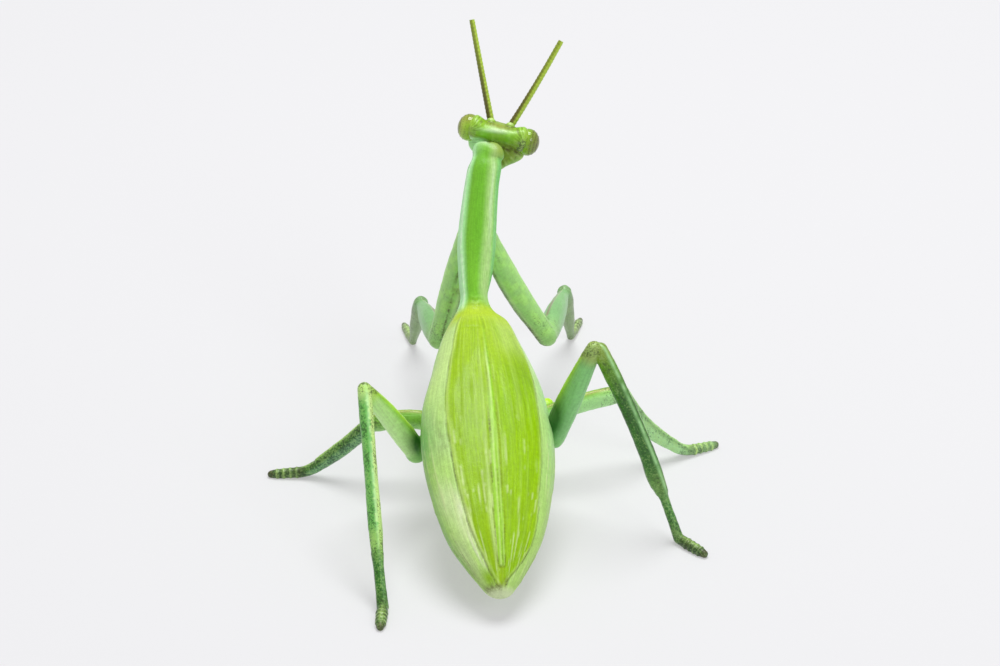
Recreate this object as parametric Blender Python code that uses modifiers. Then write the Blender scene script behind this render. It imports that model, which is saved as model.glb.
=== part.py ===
"""Praying mantis figure: a moulded and painted insect that stands on its six feet.

The figure looks along -Y, its left side is +X and +Z is up. Every place below is in millimetres from
the datum, the point on the floor under the front of the hind body, and MM turns it into metres. The
last step moves the whole figure so that the origin is the middle of its footprint, on the floor.

The body runs from the tail up to the waist along one centre line. Its outer form is a rounded
section that follows the line; the two wing covers are shells cut from that form, and the abdomen and
thorax below them are sunk by the covers' thickness. Each leg is a chain of limbs. A limb's near end is
carved by its neighbour grown by GAP, so that neighbours never touch.
"""
import math

import bmesh
import bpy
from mathutils import Matrix, Vector

MM = 0.001
GAP = 0.3
UP = Vector((0, 0, 1))

# Colours (linear RGB), one for each painted finish
LIME = (0.33, 0.60, 0.03)
PALE_GREEN = (0.36, 0.60, 0.22)
MID_GREEN = (0.20, 0.50, 0.04)
LEG_GREEN = (0.13, 0.36, 0.08)
EYE_OLIVE = (0.20, 0.24, 0.04)
FEELER_OLIVE = (0.24, 0.30, 0.04)

# Hind body: centre line, and its half width, height above and depth below at distances from the tail
TAIL = Vector((0.5, 70.0, 7.4))
SADDLE = Vector((0.5, 28.9, 26.5))
WAIST = Vector((0.5, -16.3, 45.5))
BODY_ROLL = math.radians(8)
BODY_PROFILE = (
    (0.0, 1.8, 1.3, 1.8),
    (1.2, 3.1, 2.3, 2.8),
    (6.6, 6.7, 4.4, 5.0),
    (17.3, 12.5, 7.0, 8.0),
    (33.4, 16.9, 9.0, 10.4),
    (50.0, 18.8, 9.9, 11.4),
    (65.9, 17.0, 9.4, 11.0),
    (81.3, 13.2, 7.6, 9.6),
    (90.0, 9.8, 6.0, 7.8),
    (94.6, 6.2, 4.6, 6.2),
)
RIDGE_RISE = 0.025
RIDGE_SPREAD = math.radians(7)
TAIL_STEPS = (0.0, 0.9, 2.4)
WAIST_STEP = 0.9
THORAX_START = 47.0

# Wing covers
WING_THICKNESS = 0.8
WING_SINK = 1.3
WING_EDGE = math.radians(42)
WING_FRONT = 92.6
WING_TIP = {"left": 1.4, "right": 4.6}
WING_TAPER = 24.0
SEAM_DRIFT = math.radians(8)
SEAM_GAP = 0.55

# Prothorax: centre line, and half width and half thickness at fractions of its length
PROTHORAX_PATH = ((0.5, -16.2, 44.4), (-0.6, -28.6, 57.6), (-2.6, -39.6, 70.6), (-5.1, -49.7, 82.6))
PROTHORAX_PROFILE = (
    (0.0, 3.8, 3.7),
    (0.08, 4.4, 4.3),
    (0.25, 5.0, 4.7),
    (0.44, 5.8, 5.3),
    (0.64, 5.5, 5.0),
    (0.86, 4.9, 4.6),
    (0.95, 4.3, 4.2),
    (1.0, 3.2, 3.2),
)

# Head: its place and turn, and its sections from crown to mouth (height, half width, half depth)
HEAD_AT = Vector((-9.4, -56.6, 85.1))
HEAD_YAW = math.radians(-12)
HEAD_ROLL = math.radians(-12)
HEAD_PITCH = math.radians(14)
HEAD_SECTIONS = (
    (3.7, 4.2, 1.4),
    (3.0, 7.0, 2.9),
    (1.4, 8.6, 3.9),
    (-1.2, 9.2, 4.2),
    (-3.8, 9.9, 4.0),
    (-6.0, 8.8, 3.6),
    (-8.6, 6.4, 3.1),
    (-11.2, 3.5, 2.6),
    (-12.4, 2.6, 2.2),
)
MOUTH_SECTIONS = ((-12.7, 2.4, 2.1), (-14.0, 2.0, 1.8), (-15.2, 1.3, 1.2), (-15.8, 0.6, 0.6))
EYE_OFFSET = 8.8
EYE_RADII = Vector((3.5, 3.7, 4.1))
NECK_RADIUS = 2.6
FEELER_OFFSET = 3.0
FEELER_HEIGHT = 3.0
FEELER_LENGTH = {1: 30.0, -1: 28.4}
FEELER_SPREAD = {1: math.radians(24), -1: math.radians(16)}
FEELER_LEAN = math.radians(6)
FEELER_RADII = (0.95, 0.62)

# Legs: the joints of each, from the body out to the tip of the foot
LEG_JOINTS = {
    "fore_left": (
        (1.2, -38.5, 60.5),
        (10.2, -38.0, 26.4),
        (13.8, -67.4, 22.1),
        (16.6, -80.0, 1.4),
        (18.0, -91.0, 1.1),
    ),
    "fore_right": (
        (-4.6, -39.5, 60.5),
        (-22.0, -35.4, 27.2),
        (-31.3, -67.2, 24.0),
        (-35.2, -79.0, 1.4),
        (-38.6, -89.4, 1.1),
    ),
    "mid_left": (
        (6.0, -2.0, 31.0),
        (13.5, 0.5, 20.8),
        (32.2, -1.5, 19.6),
        (50.8, -5.6, 2.0),
        (61.2, -6.0, 1.2),
    ),
    "mid_right": (
        (-6.0, 0.0, 31.0),
        (-13.5, 3.5, 21.4),
        (-42.4, -3.2, 24.6),
        (-61.0, -7.2, 2.0),
        (-70.4, -11.0, 1.2),
    ),
    "hind_left": (
        (8.0, 14.0, 26.0),
        (20.0, 15.8, 20.4),
        (34.2, 23.0, 46.0),
        (33.0, 54.4, 11.6),
        (33.2, 71.0, 1.2),
    ),
    "hind_right": (
        (-8.0, 15.0, 27.0),
        (-19.2, 19.0, 25.8),
        (-30.4, 25.8, 57.4),
        (-49.2, 33.9, 14.2),
        (-58.6, 44.6, 1.2),
    ),
}
# Where the thin first joint of a hind foot reaches the floor
HIND_HEEL = {"left": (32.5, 61.5, 2.0), "right": (-52.6, 36.0, 2.0)}

# Limb radii at fractions of each limb's length. A limb starts in a ball a little wider than the blunt
# end of the one before it, so that its carving leaves that end in one piece.
COXA = {
    "fore": ((0.0, 2.7), (0.3, 3.4), (0.7, 3.4), (1.0, 2.7)),
    "mid": ((0.0, 2.8), (0.5, 2.8), (1.0, 2.4)),
    "hind": ((0.0, 3.4), (0.5, 3.5), (1.0, 3.2)),
}
FEMUR = {
    "fore": ((0.0, 3.0), (0.35, 3.4), (0.75, 3.0), (1.0, 2.2)),
    "mid": ((0.0, 2.6), (0.4, 2.4), (0.8, 2.5), (1.0, 2.0)),
    "hind": ((0.0, 3.5), (0.3, 3.4), (0.7, 2.8), (1.0, 2.1)),
}
TIBIA = {
    "fore": ((0.0, 2.5), (0.15, 2.1), (0.5, 1.9), (1.0, 1.2)),
    "mid": ((0.0, 2.3), (0.15, 2.0), (0.5, 1.9), (1.0, 1.4)),
    "hind": ((0.0, 2.3), (0.15, 2.0), (0.7, 2.0), (0.94, 2.0), (1.0, 1.3)),
}
FOOT_RADIUS = {"fore": 1.3, "mid": 1.6, "hind": 1.5}
FOOT_SINK = 0.35
LIMB_SIDES = 8


def paint(name, colour, roughness):
    """A painted finish."""
    material = bpy.data.materials.new(name)
    material.use_nodes = True
    shader = material.node_tree.nodes["Principled BSDF"]
    shader.inputs["Base Color"].default_value = (*colour, 1)
    shader.inputs["Roughness"].default_value = roughness
    shader.inputs["Metallic"].default_value = 0
    return material


def new_collection(name):
    collection = bpy.data.collections.new(name)
    bpy.context.scene.collection.children.link(collection)
    return collection


def add_object(name, mesh, material, collection):
    """Puts a mesh in the scene as one named object with its material."""
    mesh.materials.clear()
    mesh.materials.append(material)
    part = bpy.data.objects.new(name, mesh)
    collection.objects.link(part)
    return part


def shade(mesh):
    """Smooth shading where the surface is round, sharp where it is cut."""
    mesh.shade_smooth()
    mesh.set_sharp_from_angle(angle=math.radians(50))


def between(table, at):
    """The row of values at a place in a table whose rows start with their place, smoothly joined."""
    places = [row[0] for row in table]
    at = min(max(at, places[0]), places[-1])
    last = len(table) - 2
    i = max(k for k in range(last + 1) if places[k] <= at)
    span = places[i + 1] - places[i]
    t = (at - places[i]) / span
    values = []
    for column in range(1, len(table[0])):
        a, b = table[i][column], table[i + 1][column]
        before = table[i - 1] if i > 0 else table[i]
        after = table[i + 2] if i < last else table[i + 1]
        slope_a = (b - before[column]) / (places[i + 1] - before[0]) * span
        slope_b = (after[column] - a) / (after[0] - places[i]) * span
        h = t * t * (3 - 2 * t)
        values.append(a + (b - a) * h + slope_a * t * (1 - t) ** 2 - slope_b * t * t * (1 - t))
    return values


def along(points, t):
    """The point at a fraction of the way along a smooth curve through the points."""
    steps = [0.0]
    for a, b in zip(points, points[1:]):
        steps.append(steps[-1] + (Vector(b) - Vector(a)).length)
    table = [(step / steps[-1], *point) for step, point in zip(steps, points)]
    return Vector(between(table, t))


def loft(rings):
    """A closed mesh through rings of points, with a flat cap on each end and its faces outwards."""
    bm = bmesh.new()
    loops = [[bm.verts.new(point) for point in ring] for ring in rings]
    count = len(rings[0])
    for lower, upper in zip(loops, loops[1:]):
        for i in range(count):
            j = (i + 1) % count
            bm.faces.new((lower[i], lower[j], upper[j], upper[i]))
    bm.faces.new(loops[0])
    bm.faces.new(loops[-1])
    bmesh.ops.recalc_face_normals(bm, faces=bm.faces)
    mesh = bpy.data.meshes.new("loft")
    bm.to_mesh(mesh)
    bm.free()
    return mesh


def arc(first, last, count):
    """Angles spread evenly from first to last."""
    return [first + (last - first) * i / (count - 1) for i in range(count)]


# Hind body

def body_length():
    return (SADDLE - TAIL).length + (WAIST - SADDLE).length


def body_frame(distance):
    """Centre, side and top directions of the hind body at a distance from its tail."""
    length = body_length()
    t = distance / length
    centre = along((TAIL, SADDLE, WAIST), t)
    step = 0.01
    ahead = along((TAIL, SADDLE, WAIST), min(t + step, 1)) - along((TAIL, SADDLE, WAIST), max(t - step, 0))
    ahead.normalize()
    side = ahead.cross(UP).normalized() * -1
    top = side.cross(ahead).normalized()
    if top.z < 0:
        top.negate()
    roll = Matrix.Rotation(BODY_ROLL, 3, ahead)
    return centre, roll @ side, roll @ top


def body_point(distance, angle, sink=0.0):
    """A point of the hind body's outer form: angle 0 is the left flank and 90 degrees the back."""
    centre, side, top = body_frame(distance)
    width, height, depth = between(BODY_PROFILE, distance)
    across = (width - sink) * math.cos(angle)
    if math.sin(angle) >= 0:
        rise = (height - sink) * math.sin(angle)
        off = (angle - seam_angle(distance)) / RIDGE_SPREAD
        rise += RIDGE_RISE * width * math.exp(-off * off)
    else:
        rise = (depth - sink) * math.sin(angle)
    return (centre + side * across + top * rise) * MM


def seam_angle(distance):
    """Where the wing covers meet: over the middle at the waist, drifting to the right near the tail."""
    return math.pi / 2 + SEAM_DRIFT * (1 - distance / body_length())


def edge_angle(distance, side):
    """How far down the flank a wing cover reaches: it narrows to a point over its last stretch."""
    tip = WING_TIP[side]
    narrow = min(1.0, max(0.0, (distance - tip) / WING_TAPER))
    reach = math.sqrt(1 - (1 - narrow) ** 2)
    low = WING_EDGE if side == "left" else math.pi - WING_EDGE
    return seam_angle(distance) + (low - seam_angle(distance)) * (0.12 + 0.88 * reach)


def body_ring(distance, grow=0.0):
    """A section of the hind body, sunk under the wing covers where they lie.

    A grown section is for carving the legs and the prothorax, so it takes in the wing covers too.
    """
    covered = min(WING_TIP.values()) - 1.0 < distance < WING_FRONT + 1.0
    sink = WING_SINK if covered and not grow else -grow
    left, right = edge_angle(distance, "left"), edge_angle(distance, "right")
    margin = math.radians(4)
    ring = [body_point(distance, angle, sink) for angle in arc(left - margin, right + margin, 9)]
    flank = arc(right + 2 * margin, left - 2 * margin + 2 * math.pi, 15)
    ring += [body_point(distance, angle, -grow) for angle in flank]
    return ring


def body_piece(first, last, count, grow=0.0):
    """A length of the hind body. Beyond the ends of the wing covers it is made in shorter steps."""
    steps = arc(first, last, count)
    if first == 0:
        steps = [*TAIL_STEPS, *arc(TAIL_STEPS[-1] + 2.5, last, count - 2)]
    if last == body_length():
        steps.insert(-1, last - WAIST_STEP)
    rings = [body_ring(distance, grow) for distance in steps]
    ahead = (WAIST - SADDLE).normalized()
    rings[-1] = [point + ahead * grow * MM for point in rings[-1]]
    return loft(rings)


def wing_cover(side, rows=20, columns=7):
    """One wing cover: a thin shell on the back of the hind body, from the waist to near the tail."""
    bm = bmesh.new()
    tip = WING_TIP[side]
    grid = []
    for i in range(rows):
        t = (1 - math.cos(math.pi * i / (rows - 1))) / 2
        distance = tip + (WING_FRONT - tip) * t
        width = between(BODY_PROFILE, distance)[0]
        turn = SEAM_GAP / 2 / width * (-1 if side == "left" else 1)
        angles = arc(seam_angle(distance) + turn, edge_angle(distance, side), columns)
        grid.append([bm.verts.new(body_point(distance, angle)) for angle in angles])
    for near, far in zip(grid, grid[1:]):
        for i in range(columns - 1):
            bm.faces.new((near[i], near[i + 1], far[i + 1], far[i]))
    bmesh.ops.recalc_face_normals(bm, faces=bm.faces)
    if sum((face.normal for face in bm.faces), Vector()).z < 0:
        bmesh.ops.reverse_faces(bm, faces=bm.faces)
    mesh = bpy.data.meshes.new("wing")
    bm.to_mesh(mesh)
    bm.free()
    return mesh


# Prothorax and head

def prothorax_mesh(grow=0.0, sides=16, rows=12):
    points = [Vector(point) for point in PROTHORAX_PATH]
    rings = []
    for t in arc(0, 1, rows):
        centre = along(points, t)
        ahead = (along(points, min(t + 0.02, 1)) - along(points, max(t - 0.02, 0))).normalized()
        side = ahead.cross(UP).normalized()
        top = side.cross(ahead).normalized()
        width, thickness = between(PROTHORAX_PROFILE, t)
        centre += ahead * grow * (2 * t - 1)
        ring = []
        for angle in arc(0, 2 * math.pi * (1 - 1 / sides), sides):
            across = side * (width + grow) * math.cos(angle)
            ring.append((centre + across + top * (thickness + grow) * math.sin(angle)) * MM)
        rings.append(ring)
    return loft(rings)


def head_matrix():
    """Turns head coordinates (left, forward is -Y, up) into the figure's own."""
    turn = Matrix.Rotation(HEAD_YAW, 4, "Z") @ Matrix.Rotation(HEAD_ROLL, 4, "Y")
    return Matrix.Translation(HEAD_AT) @ turn @ Matrix.Rotation(HEAD_PITCH, 4, "X")


def head_ring(height, width, depth, sides=16):
    place = head_matrix()
    ring = []
    for angle in arc(0, 2 * math.pi * (1 - 1 / sides), sides):
        point = Vector((width * math.cos(angle), depth * math.sin(angle), height))
        ring.append((place @ point) * MM)
    return ring


def eye_mesh(side, grow=0.0):
    """An egg-shaped eye on the end of the crown."""
    place = head_matrix()
    radii = EYE_RADII + Vector((grow, grow, grow))
    bm = bmesh.new()
    bmesh.ops.create_uvsphere(bm, u_segments=12, v_segments=8, radius=1)
    for vert in bm.verts:
        swollen = Vector((vert.co.x * radii.x, vert.co.y * radii.y, vert.co.z * radii.z))
        vert.co = (place @ (swollen + Vector((side * EYE_OFFSET, 0, 0)))) * MM
    mesh = bpy.data.meshes.new("eye")
    bm.to_mesh(mesh)
    bm.free()
    return mesh


# Limbs

def limb_mesh(points, radii, grow=0.0, rounding=3, stations=6, ringed=False, blunt=False):
    """A tapered round limb with a rounded start, made from a curve whose points carry its radii."""
    points = [Vector(point) for point in points]
    length = sum((b - a).length for a, b in zip(points, points[1:]))
    start, end = radii[0][1] + grow, radii[-1][1] + grow
    body = []
    for i in range(stations):
        t = i / (stations - 1)
        radius = between(radii, t)[0] + grow
        if ringed and 0 < i < stations - 1:
            radius *= 1 if i % 2 else 0.86
        body.append((t, radius))
    stops = []
    for i in range(rounding):
        angle = math.pi / 2 * (i + 0.45) / rounding
        stops.append((-start * math.cos(angle) / length, start * math.sin(angle)))
    stops += body
    for i in reversed(range(0 if blunt else rounding)):
        angle = math.pi / 2 * (i + 0.45) / rounding
        stops.append((1 + end * math.cos(angle) / length, end * math.sin(angle)))
    curve = bpy.data.curves.new("limb", "CURVE")
    curve.dimensions = "3D"
    curve.bevel_depth = MM
    curve.bevel_resolution = LIMB_SIDES // 4
    curve.use_fill_caps = True
    spline = curve.splines.new("POLY")
    spline.points.add(len(stops) - 1)
    first = (along(points, 0.02) - points[0]).normalized()
    last = (points[-1] - along(points, 0.98)).normalized()
    for target, (t, radius) in zip(spline.points, stops):
        if t < 0:
            centre = points[0] + first * t * length
        elif t > 1:
            centre = points[-1] + last * (t - 1) * length
        else:
            centre = along(points, t)
        target.co = (*(centre * MM), 1)
        target.radius = radius
    carrier = bpy.data.objects.new("limb", curve)
    bpy.context.scene.collection.objects.link(carrier)
    seen = carrier.evaluated_get(bpy.context.evaluated_depsgraph_get())
    mesh = bpy.data.meshes.new_from_object(seen)
    bpy.data.objects.remove(carrier)
    bpy.data.curves.remove(curve)
    bm = bmesh.new()
    bm.from_mesh(mesh)
    bmesh.ops.remove_doubles(bm, verts=bm.verts, dist=0.01 * MM)
    bmesh.ops.recalc_face_normals(bm, faces=bm.faces)
    bm.to_mesh(mesh)
    bm.free()
    return mesh


def cut_at_floor(mesh):
    """Gives a foot its small flat on the floor."""
    bm = bmesh.new()
    bm.from_mesh(mesh)
    all_of_it = bm.verts[:] + bm.edges[:] + bm.faces[:]
    down = (0, 0, -1)
    cut = bmesh.ops.bisect_plane(bm, geom=all_of_it, plane_co=(0, 0, 0), plane_no=down, clear_outer=True)
    edges = [item for item in cut["geom_cut"] if isinstance(item, bmesh.types.BMEdge)]
    bmesh.ops.holes_fill(bm, edges=edges)
    bmesh.ops.recalc_face_normals(bm, faces=bm.faces)
    bm.to_mesh(mesh)
    bm.free()


class Figure:
    """The collections, the finishes and the carving of one piece by the next."""

    def __init__(self):
        self.parts = new_collection("praying_mantis")
        self.cutters = new_collection("cutters")
        self.finishes = {
            "lime": paint("wing_lime", LIME, 0.45),
            "pale": paint("flank_pale_green", PALE_GREEN, 0.45),
            "green": paint("body_green", MID_GREEN, 0.35),
            "leg": paint("leg_green", LEG_GREEN, 0.4),
            "eye": paint("eye_olive", EYE_OLIVE, 0.12),
            "feeler": paint("feeler_olive", FEELER_OLIVE, 0.35),
        }

    def add(self, name, mesh, finish):
        shade(mesh)
        return add_object(name, mesh, self.finishes[finish], self.parts)

    def carve(self, part, mesh):
        """Takes a grown neighbour out of a part."""
        name = f"{part.name}_cut_{len(part.modifiers)}"
        cutter = add_object(name, mesh, self.finishes["leg"], self.cutters)
        cutter.hide_render = True
        cutter.display_type = "WIRE"
        cut = part.modifiers.new("carve", "BOOLEAN")
        cut.operation = "DIFFERENCE"
        cut.solver = "EXACT"
        cut.object = cutter


def build_hind_body(figure):
    last = body_length()
    figure.add("abdomen", body_piece(0, THORAX_START - GAP / 2, 13), "pale")
    figure.add("thorax", body_piece(THORAX_START + GAP / 2, last, 13), "pale")
    for side in ("left", "right"):
        wing = figure.add(f"wing_{side}", wing_cover(side), "lime")
        shell = wing.modifiers.new("thickness", "SOLIDIFY")
        shell.thickness = WING_THICKNESS * MM
        shell.offset = -1


def build_front(figure):
    prothorax = figure.add("prothorax", prothorax_mesh(), "green")
    figure.carve(prothorax, body_piece(THORAX_START, body_length(), 13, GAP))
    figure.add("head", loft([head_ring(*row) for row in HEAD_SECTIONS]), "green")
    figure.add("mouthparts", loft([head_ring(*row) for row in MOUTH_SECTIONS]), "green")
    head = bpy.data.objects["head"]
    for name, side in (("left", 1), ("right", -1)):
        figure.add(f"eye_{name}", eye_mesh(side), "eye")
        figure.carve(head, eye_mesh(side, GAP))
        points, radii = feeler(side)
        figure.add(f"antenna_{name}", limb_mesh(points, radii, rounding=2), "feeler")
        figure.carve(head, limb_mesh(points, radii, GAP, rounding=2))
    radii = ((0, NECK_RADIUS), (1, NECK_RADIUS))
    neck = figure.add("neck", limb_mesh(neck_path(), radii, rounding=2, stations=3), "green")
    figure.carve(neck, prothorax_mesh(GAP))
    figure.carve(neck, loft([head_ring(h, w + GAP, d + GAP) for h, w, d in HEAD_SECTIONS]))


def neck_path():
    """From inside the front of the prothorax to inside the back of the head."""
    start = along([Vector(point) for point in PROTHORAX_PATH], 0.95)
    return start, head_matrix() @ Vector((0, 0, -2))


def feeler(side):
    """Centre line and radii of one antenna, which bows outwards a little."""
    place = head_matrix()
    root = Vector((side * FEELER_OFFSET, -0.7, FEELER_HEIGHT))
    lean = Matrix.Rotation(side * FEELER_SPREAD[side], 3, "Y") @ Matrix.Rotation(FEELER_LEAN, 3, "X")
    points = []
    for t in (0, 0.5, 1):
        bow = Vector((side * 0.5 * math.sin(math.pi * t), 0, 0))
        points.append(place @ (root + lean @ (UP * FEELER_LENGTH[side] * t) + bow))
    return points, ((0, FEELER_RADII[0]), (0.15, 0.72), (1, FEELER_RADII[1]))


def leg_limbs(leg):
    """Name, centre line and radii of a leg's limbs, from the body out."""
    kind, side = leg.split("_")
    joints = LEG_JOINTS[leg]
    radius = FOOT_RADIUS[kind]
    toe = ((0, radius), (0.75, radius * 0.95), (1, radius * 0.62))
    foot = [Vector(joint) - UP * FOOT_SINK for joint in joints[3:]]
    if kind == "hind":
        heel = Vector(HIND_HEEL[side]) - UP * FOOT_SINK
        foot = [Vector(joints[3]), heel, foot[1]]
    return (
        ("coxa", joints[0:2], COXA[kind]),
        ("femur", joints[1:3], FEMUR[kind]),
        ("tibia", joints[2:4], TIBIA[kind]),
        ("tarsus", foot, toe),
    )


def build_leg(figure, leg):
    """Four limbs in a chain. Each is carved by the next one out, and the coxa also by the body."""
    limbs = leg_limbs(leg)
    for i, (name, points, radii) in enumerate(limbs):
        is_foot = name == "tarsus"
        if is_foot:
            mesh = limb_mesh(points, radii, rounding=2, stations=10, ringed=True)
            cut_at_floor(mesh)
        else:
            mesh = limb_mesh(points, radii, blunt=True)
        part = figure.add(f"{leg}_{name}", mesh, "leg")
        if not is_foot:
            _, next_points, next_radii = limbs[i + 1]
            figure.carve(part, limb_mesh(next_points, next_radii, GAP))
        if name == "coxa" and leg.startswith("fore"):
            figure.carve(part, prothorax_mesh(GAP))
        elif name in ("coxa", "femur") and not leg.startswith("fore"):
            figure.carve(part, body_piece(0, body_length(), 24, GAP))


def stand_on_origin(figure):
    """Moves the figure so that the middle of its footprint is the origin."""
    depsgraph = bpy.context.evaluated_depsgraph_get()
    corners = []
    for part in figure.parts.objects:
        seen = part.evaluated_get(depsgraph)
        corners += [seen.matrix_world @ vert.co for vert in seen.data.vertices]
    low = Vector(min(corner[i] for corner in corners) for i in range(3))
    high = Vector(max(corner[i] for corner in corners) for i in range(3))
    middle = (low + high) / 2
    shift = Matrix.Translation(Vector((-middle.x, -middle.y, -low.z)))
    for part in (*figure.parts.objects, *figure.cutters.objects):
        part.data.transform(shift)


def main():
    for old in list(bpy.data.objects):
        bpy.data.objects.remove(old)
    figure = Figure()
    build_hind_body(figure)
    build_front(figure)
    for leg in LEG_JOINTS:
        build_leg(figure, leg)
    stand_on_origin(figure)


main()
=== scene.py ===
"""Praying mantis figurine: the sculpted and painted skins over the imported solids.

The figure looks along -Y, its left side is +X and +Z is up. Measures here are in millimetres and MM turns
them into metres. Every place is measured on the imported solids: the trunk is a loft through sections of
the hind body and the prothorax, the head is modelled on the head solid, and each leg follows the axes of
its limbs. The paint is laid on the vertices as attributes, and the materials add grain, wash and gloss.
"""
import math

import bmesh
import bpy
import numpy as np
from bpy.props import FloatProperty, FloatVectorProperty, IntProperty, PointerProperty
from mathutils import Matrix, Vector


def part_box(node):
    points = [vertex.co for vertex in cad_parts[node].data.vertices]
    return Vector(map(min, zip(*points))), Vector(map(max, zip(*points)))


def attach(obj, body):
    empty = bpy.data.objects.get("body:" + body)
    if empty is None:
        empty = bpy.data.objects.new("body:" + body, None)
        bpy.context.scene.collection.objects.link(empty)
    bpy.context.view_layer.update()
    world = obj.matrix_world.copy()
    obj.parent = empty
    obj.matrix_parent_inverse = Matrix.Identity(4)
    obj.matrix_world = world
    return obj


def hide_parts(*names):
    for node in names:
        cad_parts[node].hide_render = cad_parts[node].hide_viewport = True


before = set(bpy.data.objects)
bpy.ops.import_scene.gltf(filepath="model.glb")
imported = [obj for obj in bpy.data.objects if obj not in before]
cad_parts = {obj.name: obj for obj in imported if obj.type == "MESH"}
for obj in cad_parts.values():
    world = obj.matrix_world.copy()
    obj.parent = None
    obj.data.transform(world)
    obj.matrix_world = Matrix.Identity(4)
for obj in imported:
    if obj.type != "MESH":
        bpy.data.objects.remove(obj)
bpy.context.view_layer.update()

bl_info = {
    "name": "Praying Mantis Figurine",
    "version": (1, 0, 0),
    "blender": (4, 5, 0),
    "location": "View3D > Sidebar > Mantis",
    "description": "Builds a moulded and painted praying mantis figurine around its packed solids",
    "category": "Add Mesh",
}

MM = 0.001
UP = np.array([0.0, 0.0, 1.0])
SIDES = {"left": 1, "right": -1}
LEG_KINDS = ("fore", "mid", "hind")

# Trunk: how sections are taken, and the form of the waist, the neck and the tail
BODY_ROLL = math.radians(8)
BODY_LEVEL = 0.54
BODY_STATIONS = (0.4, 1.4, 3, 6, 10, 16, 24, 33, 42, 50, 58, 66, 74, 81, 86, 90, 92.5)
FRONT_STATIONS = (0.1, 0.2, 0.32, 0.44, 0.56, 0.68, 0.8, 0.9, 0.97)
TRUNK_ROWS = 390
TRUNK_COLUMNS = 200
TAIL_ROUNDING = 1.6
COLLAR_REACH = 4.3
COLLAR_TILT = 2.0
COLLAR_ROUNDING = ((0.4, 1.0), (0.72, 0.93), (0.92, 0.72), (1.0, 0.4))

# Lines that run along the hind body: distance from the tail in mm, and degrees round from the left flank
LEFT_EDGE = ((1.5, 86), (3, 70), (6, 60), (12, 54), (20, 51.5), (35, 49.5), (60, 46.5), (75, 48), (92, 51))
RIGHT_EDGE = ((2.5, 104), (4, 112), (6, 124), (9, 136), (14, 144), (20, 142), (27, 138), (45, 136.5),
              (60, 140), (70, 143.5), (80, 149), (92, 151))
RIB_LEFT = ((6, 84), (10, 83), (30, 84.5), (60, 88.3), (75, 90), (92, 90.6))
RIB_RIGHT = ((6, 97), (10, 96), (30, 93), (60, 92.6), (75, 92), (92, 91.6))
RIB_END = 7.2
BELLY_SEGMENT = 9.5


def srgb(red, green, blue):
    """A linear colour from 0-255 values."""
    values = np.array([red, green, blue]) / 255
    return tuple(np.where(values <= 0.04045, values / 12.92, ((values + 0.055) / 1.055) ** 2.4))


# Head: rows from the crown to the mouth (height, half width, depth before, depth behind), in mm from the
# middle between the eyes; the bar that joins the eyes; and the antenna sockets
HEAD_ROWS = (
    (3.5, 4.0, 1.2, 1.6),
    (2.8, 6.6, 2.6, 2.6),
    (1.2, 8.4, 3.6, 3.2),
    (-1.2, 8.8, 4.0, 3.2),
    (-3.4, 8.9, 3.9, 2.4),
    (-5.6, 8.1, 3.6, 2.2),
    (-8.6, 4.7, 3.2, 2.0),
    (-11.2, 2.2, 2.5, 1.8),
    (-12.8, 2.5, 2.1, 1.6),
    (-14.2, 2.0, 1.8, 1.4),
    (-15.6, 1.0, 1.0, 0.9),
)
EYE_SHIFT = {"left": (0.0, 0.0, -0.1), "right": (-0.3, 0.0, -0.3)}
FACE_LEAN = -0.5
BAR_AT = (1.0, 0.5)
BAR_HEIGHT = (3.0, 4.1)
BAR_DEPTH = (3.5, 4.0)
SOCKET_AT = (2.9, 0.1, 3.3)
HEAD_VOXEL = 0.24
EYE_BEADS = 26
BEAD_SIZE = 0.1
BEAD_TURNS = (0.62, 1.25)
PALP_RADII = (0.7, 0.5)
FEELER_GIRTH = 1.28
WELD = 0.002
TIP_SHIFT = {"left": (0.3, 0.0, 0.1), "right": (-0.75, 0.0, 0.2)}
BOW_SHIFT = {"left": (-0.7, 0.0, 0.0), "right": (-0.2, 0.0, 0.0)}

# Legs: where limbs are measured; how much wider or thinner they end than they are measured there; and how
# deep a section is for its width, with the height of its keel
LIMB_FRACTIONS = (0.16, 0.34, 0.52, 0.7, 0.86)
LIMB_ENDS = {
    ("fore", "coxa"): (0.95, 0.96),
    ("fore", "femur"): (0.98, 0.9),
    ("fore", "tibia"): (1.1, 0.95),
    ("mid", "femur"): (1.0, 0.95),
    ("mid", "tibia"): (1.06, 0.95),
    ("hind", "femur"): (1.0, 0.92),
    ("hind", "tibia"): (1.1, 0.8),
}
LIMB_GIRTH = {
    ("fore", "coxa"): np.array((1.0, 1.1, 1.12, 1.1, 1.08, 1.06, 1.06)),
    ("fore", "femur"): np.array((1.04, 1.16, 1.14, 1.06, 0.92, 0.76, 0.58)),
    ("fore", "tibia"): np.array((0.9, 1.08, 1.14, 1.14, 1.08, 0.96, 0.86)),
    ("mid", "femur"): np.array((1.1, 1.1, 1.1, 1.1, 1.08, 1.08, 1.0)),
    ("mid", "tibia"): np.array((1.0, 1.06, 1.1, 1.14, 1.16, 1.18, 1.16)),
    ("hind", "femur"): np.array((1.0, 1.0, 1.0, 1.0, 1.0, 0.98, 0.92)),
    ("hind", "tibia"): np.array((0.94, 1.1, 1.1, 1.08, 1.1, 1.16, 1.2)),
}
SIDE_GIRTH = {("hind", "left", "femur"): 0.9, ("hind", "left", "tibia"): 0.89}
LIMB_BOW = {
    ("hind", "right", "tibia"): (0.0, 0.7),
    ("mid", "right", "tibia"): (0.0, -2.3),
    ("mid", "left", "tibia"): (0.0, -0.6),
    ("mid", "left", "femur"): (0.0, 1.3),
    ("mid", "right", "femur"): (0.0, 1.0),
    ("fore", "right", "coxa"): (0.5, -1.25),
    ("hind", "left", "femur"): (0.0, 0.4),
    ("hind", "right", "femur"): (0.0, 0.2),
}
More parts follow.
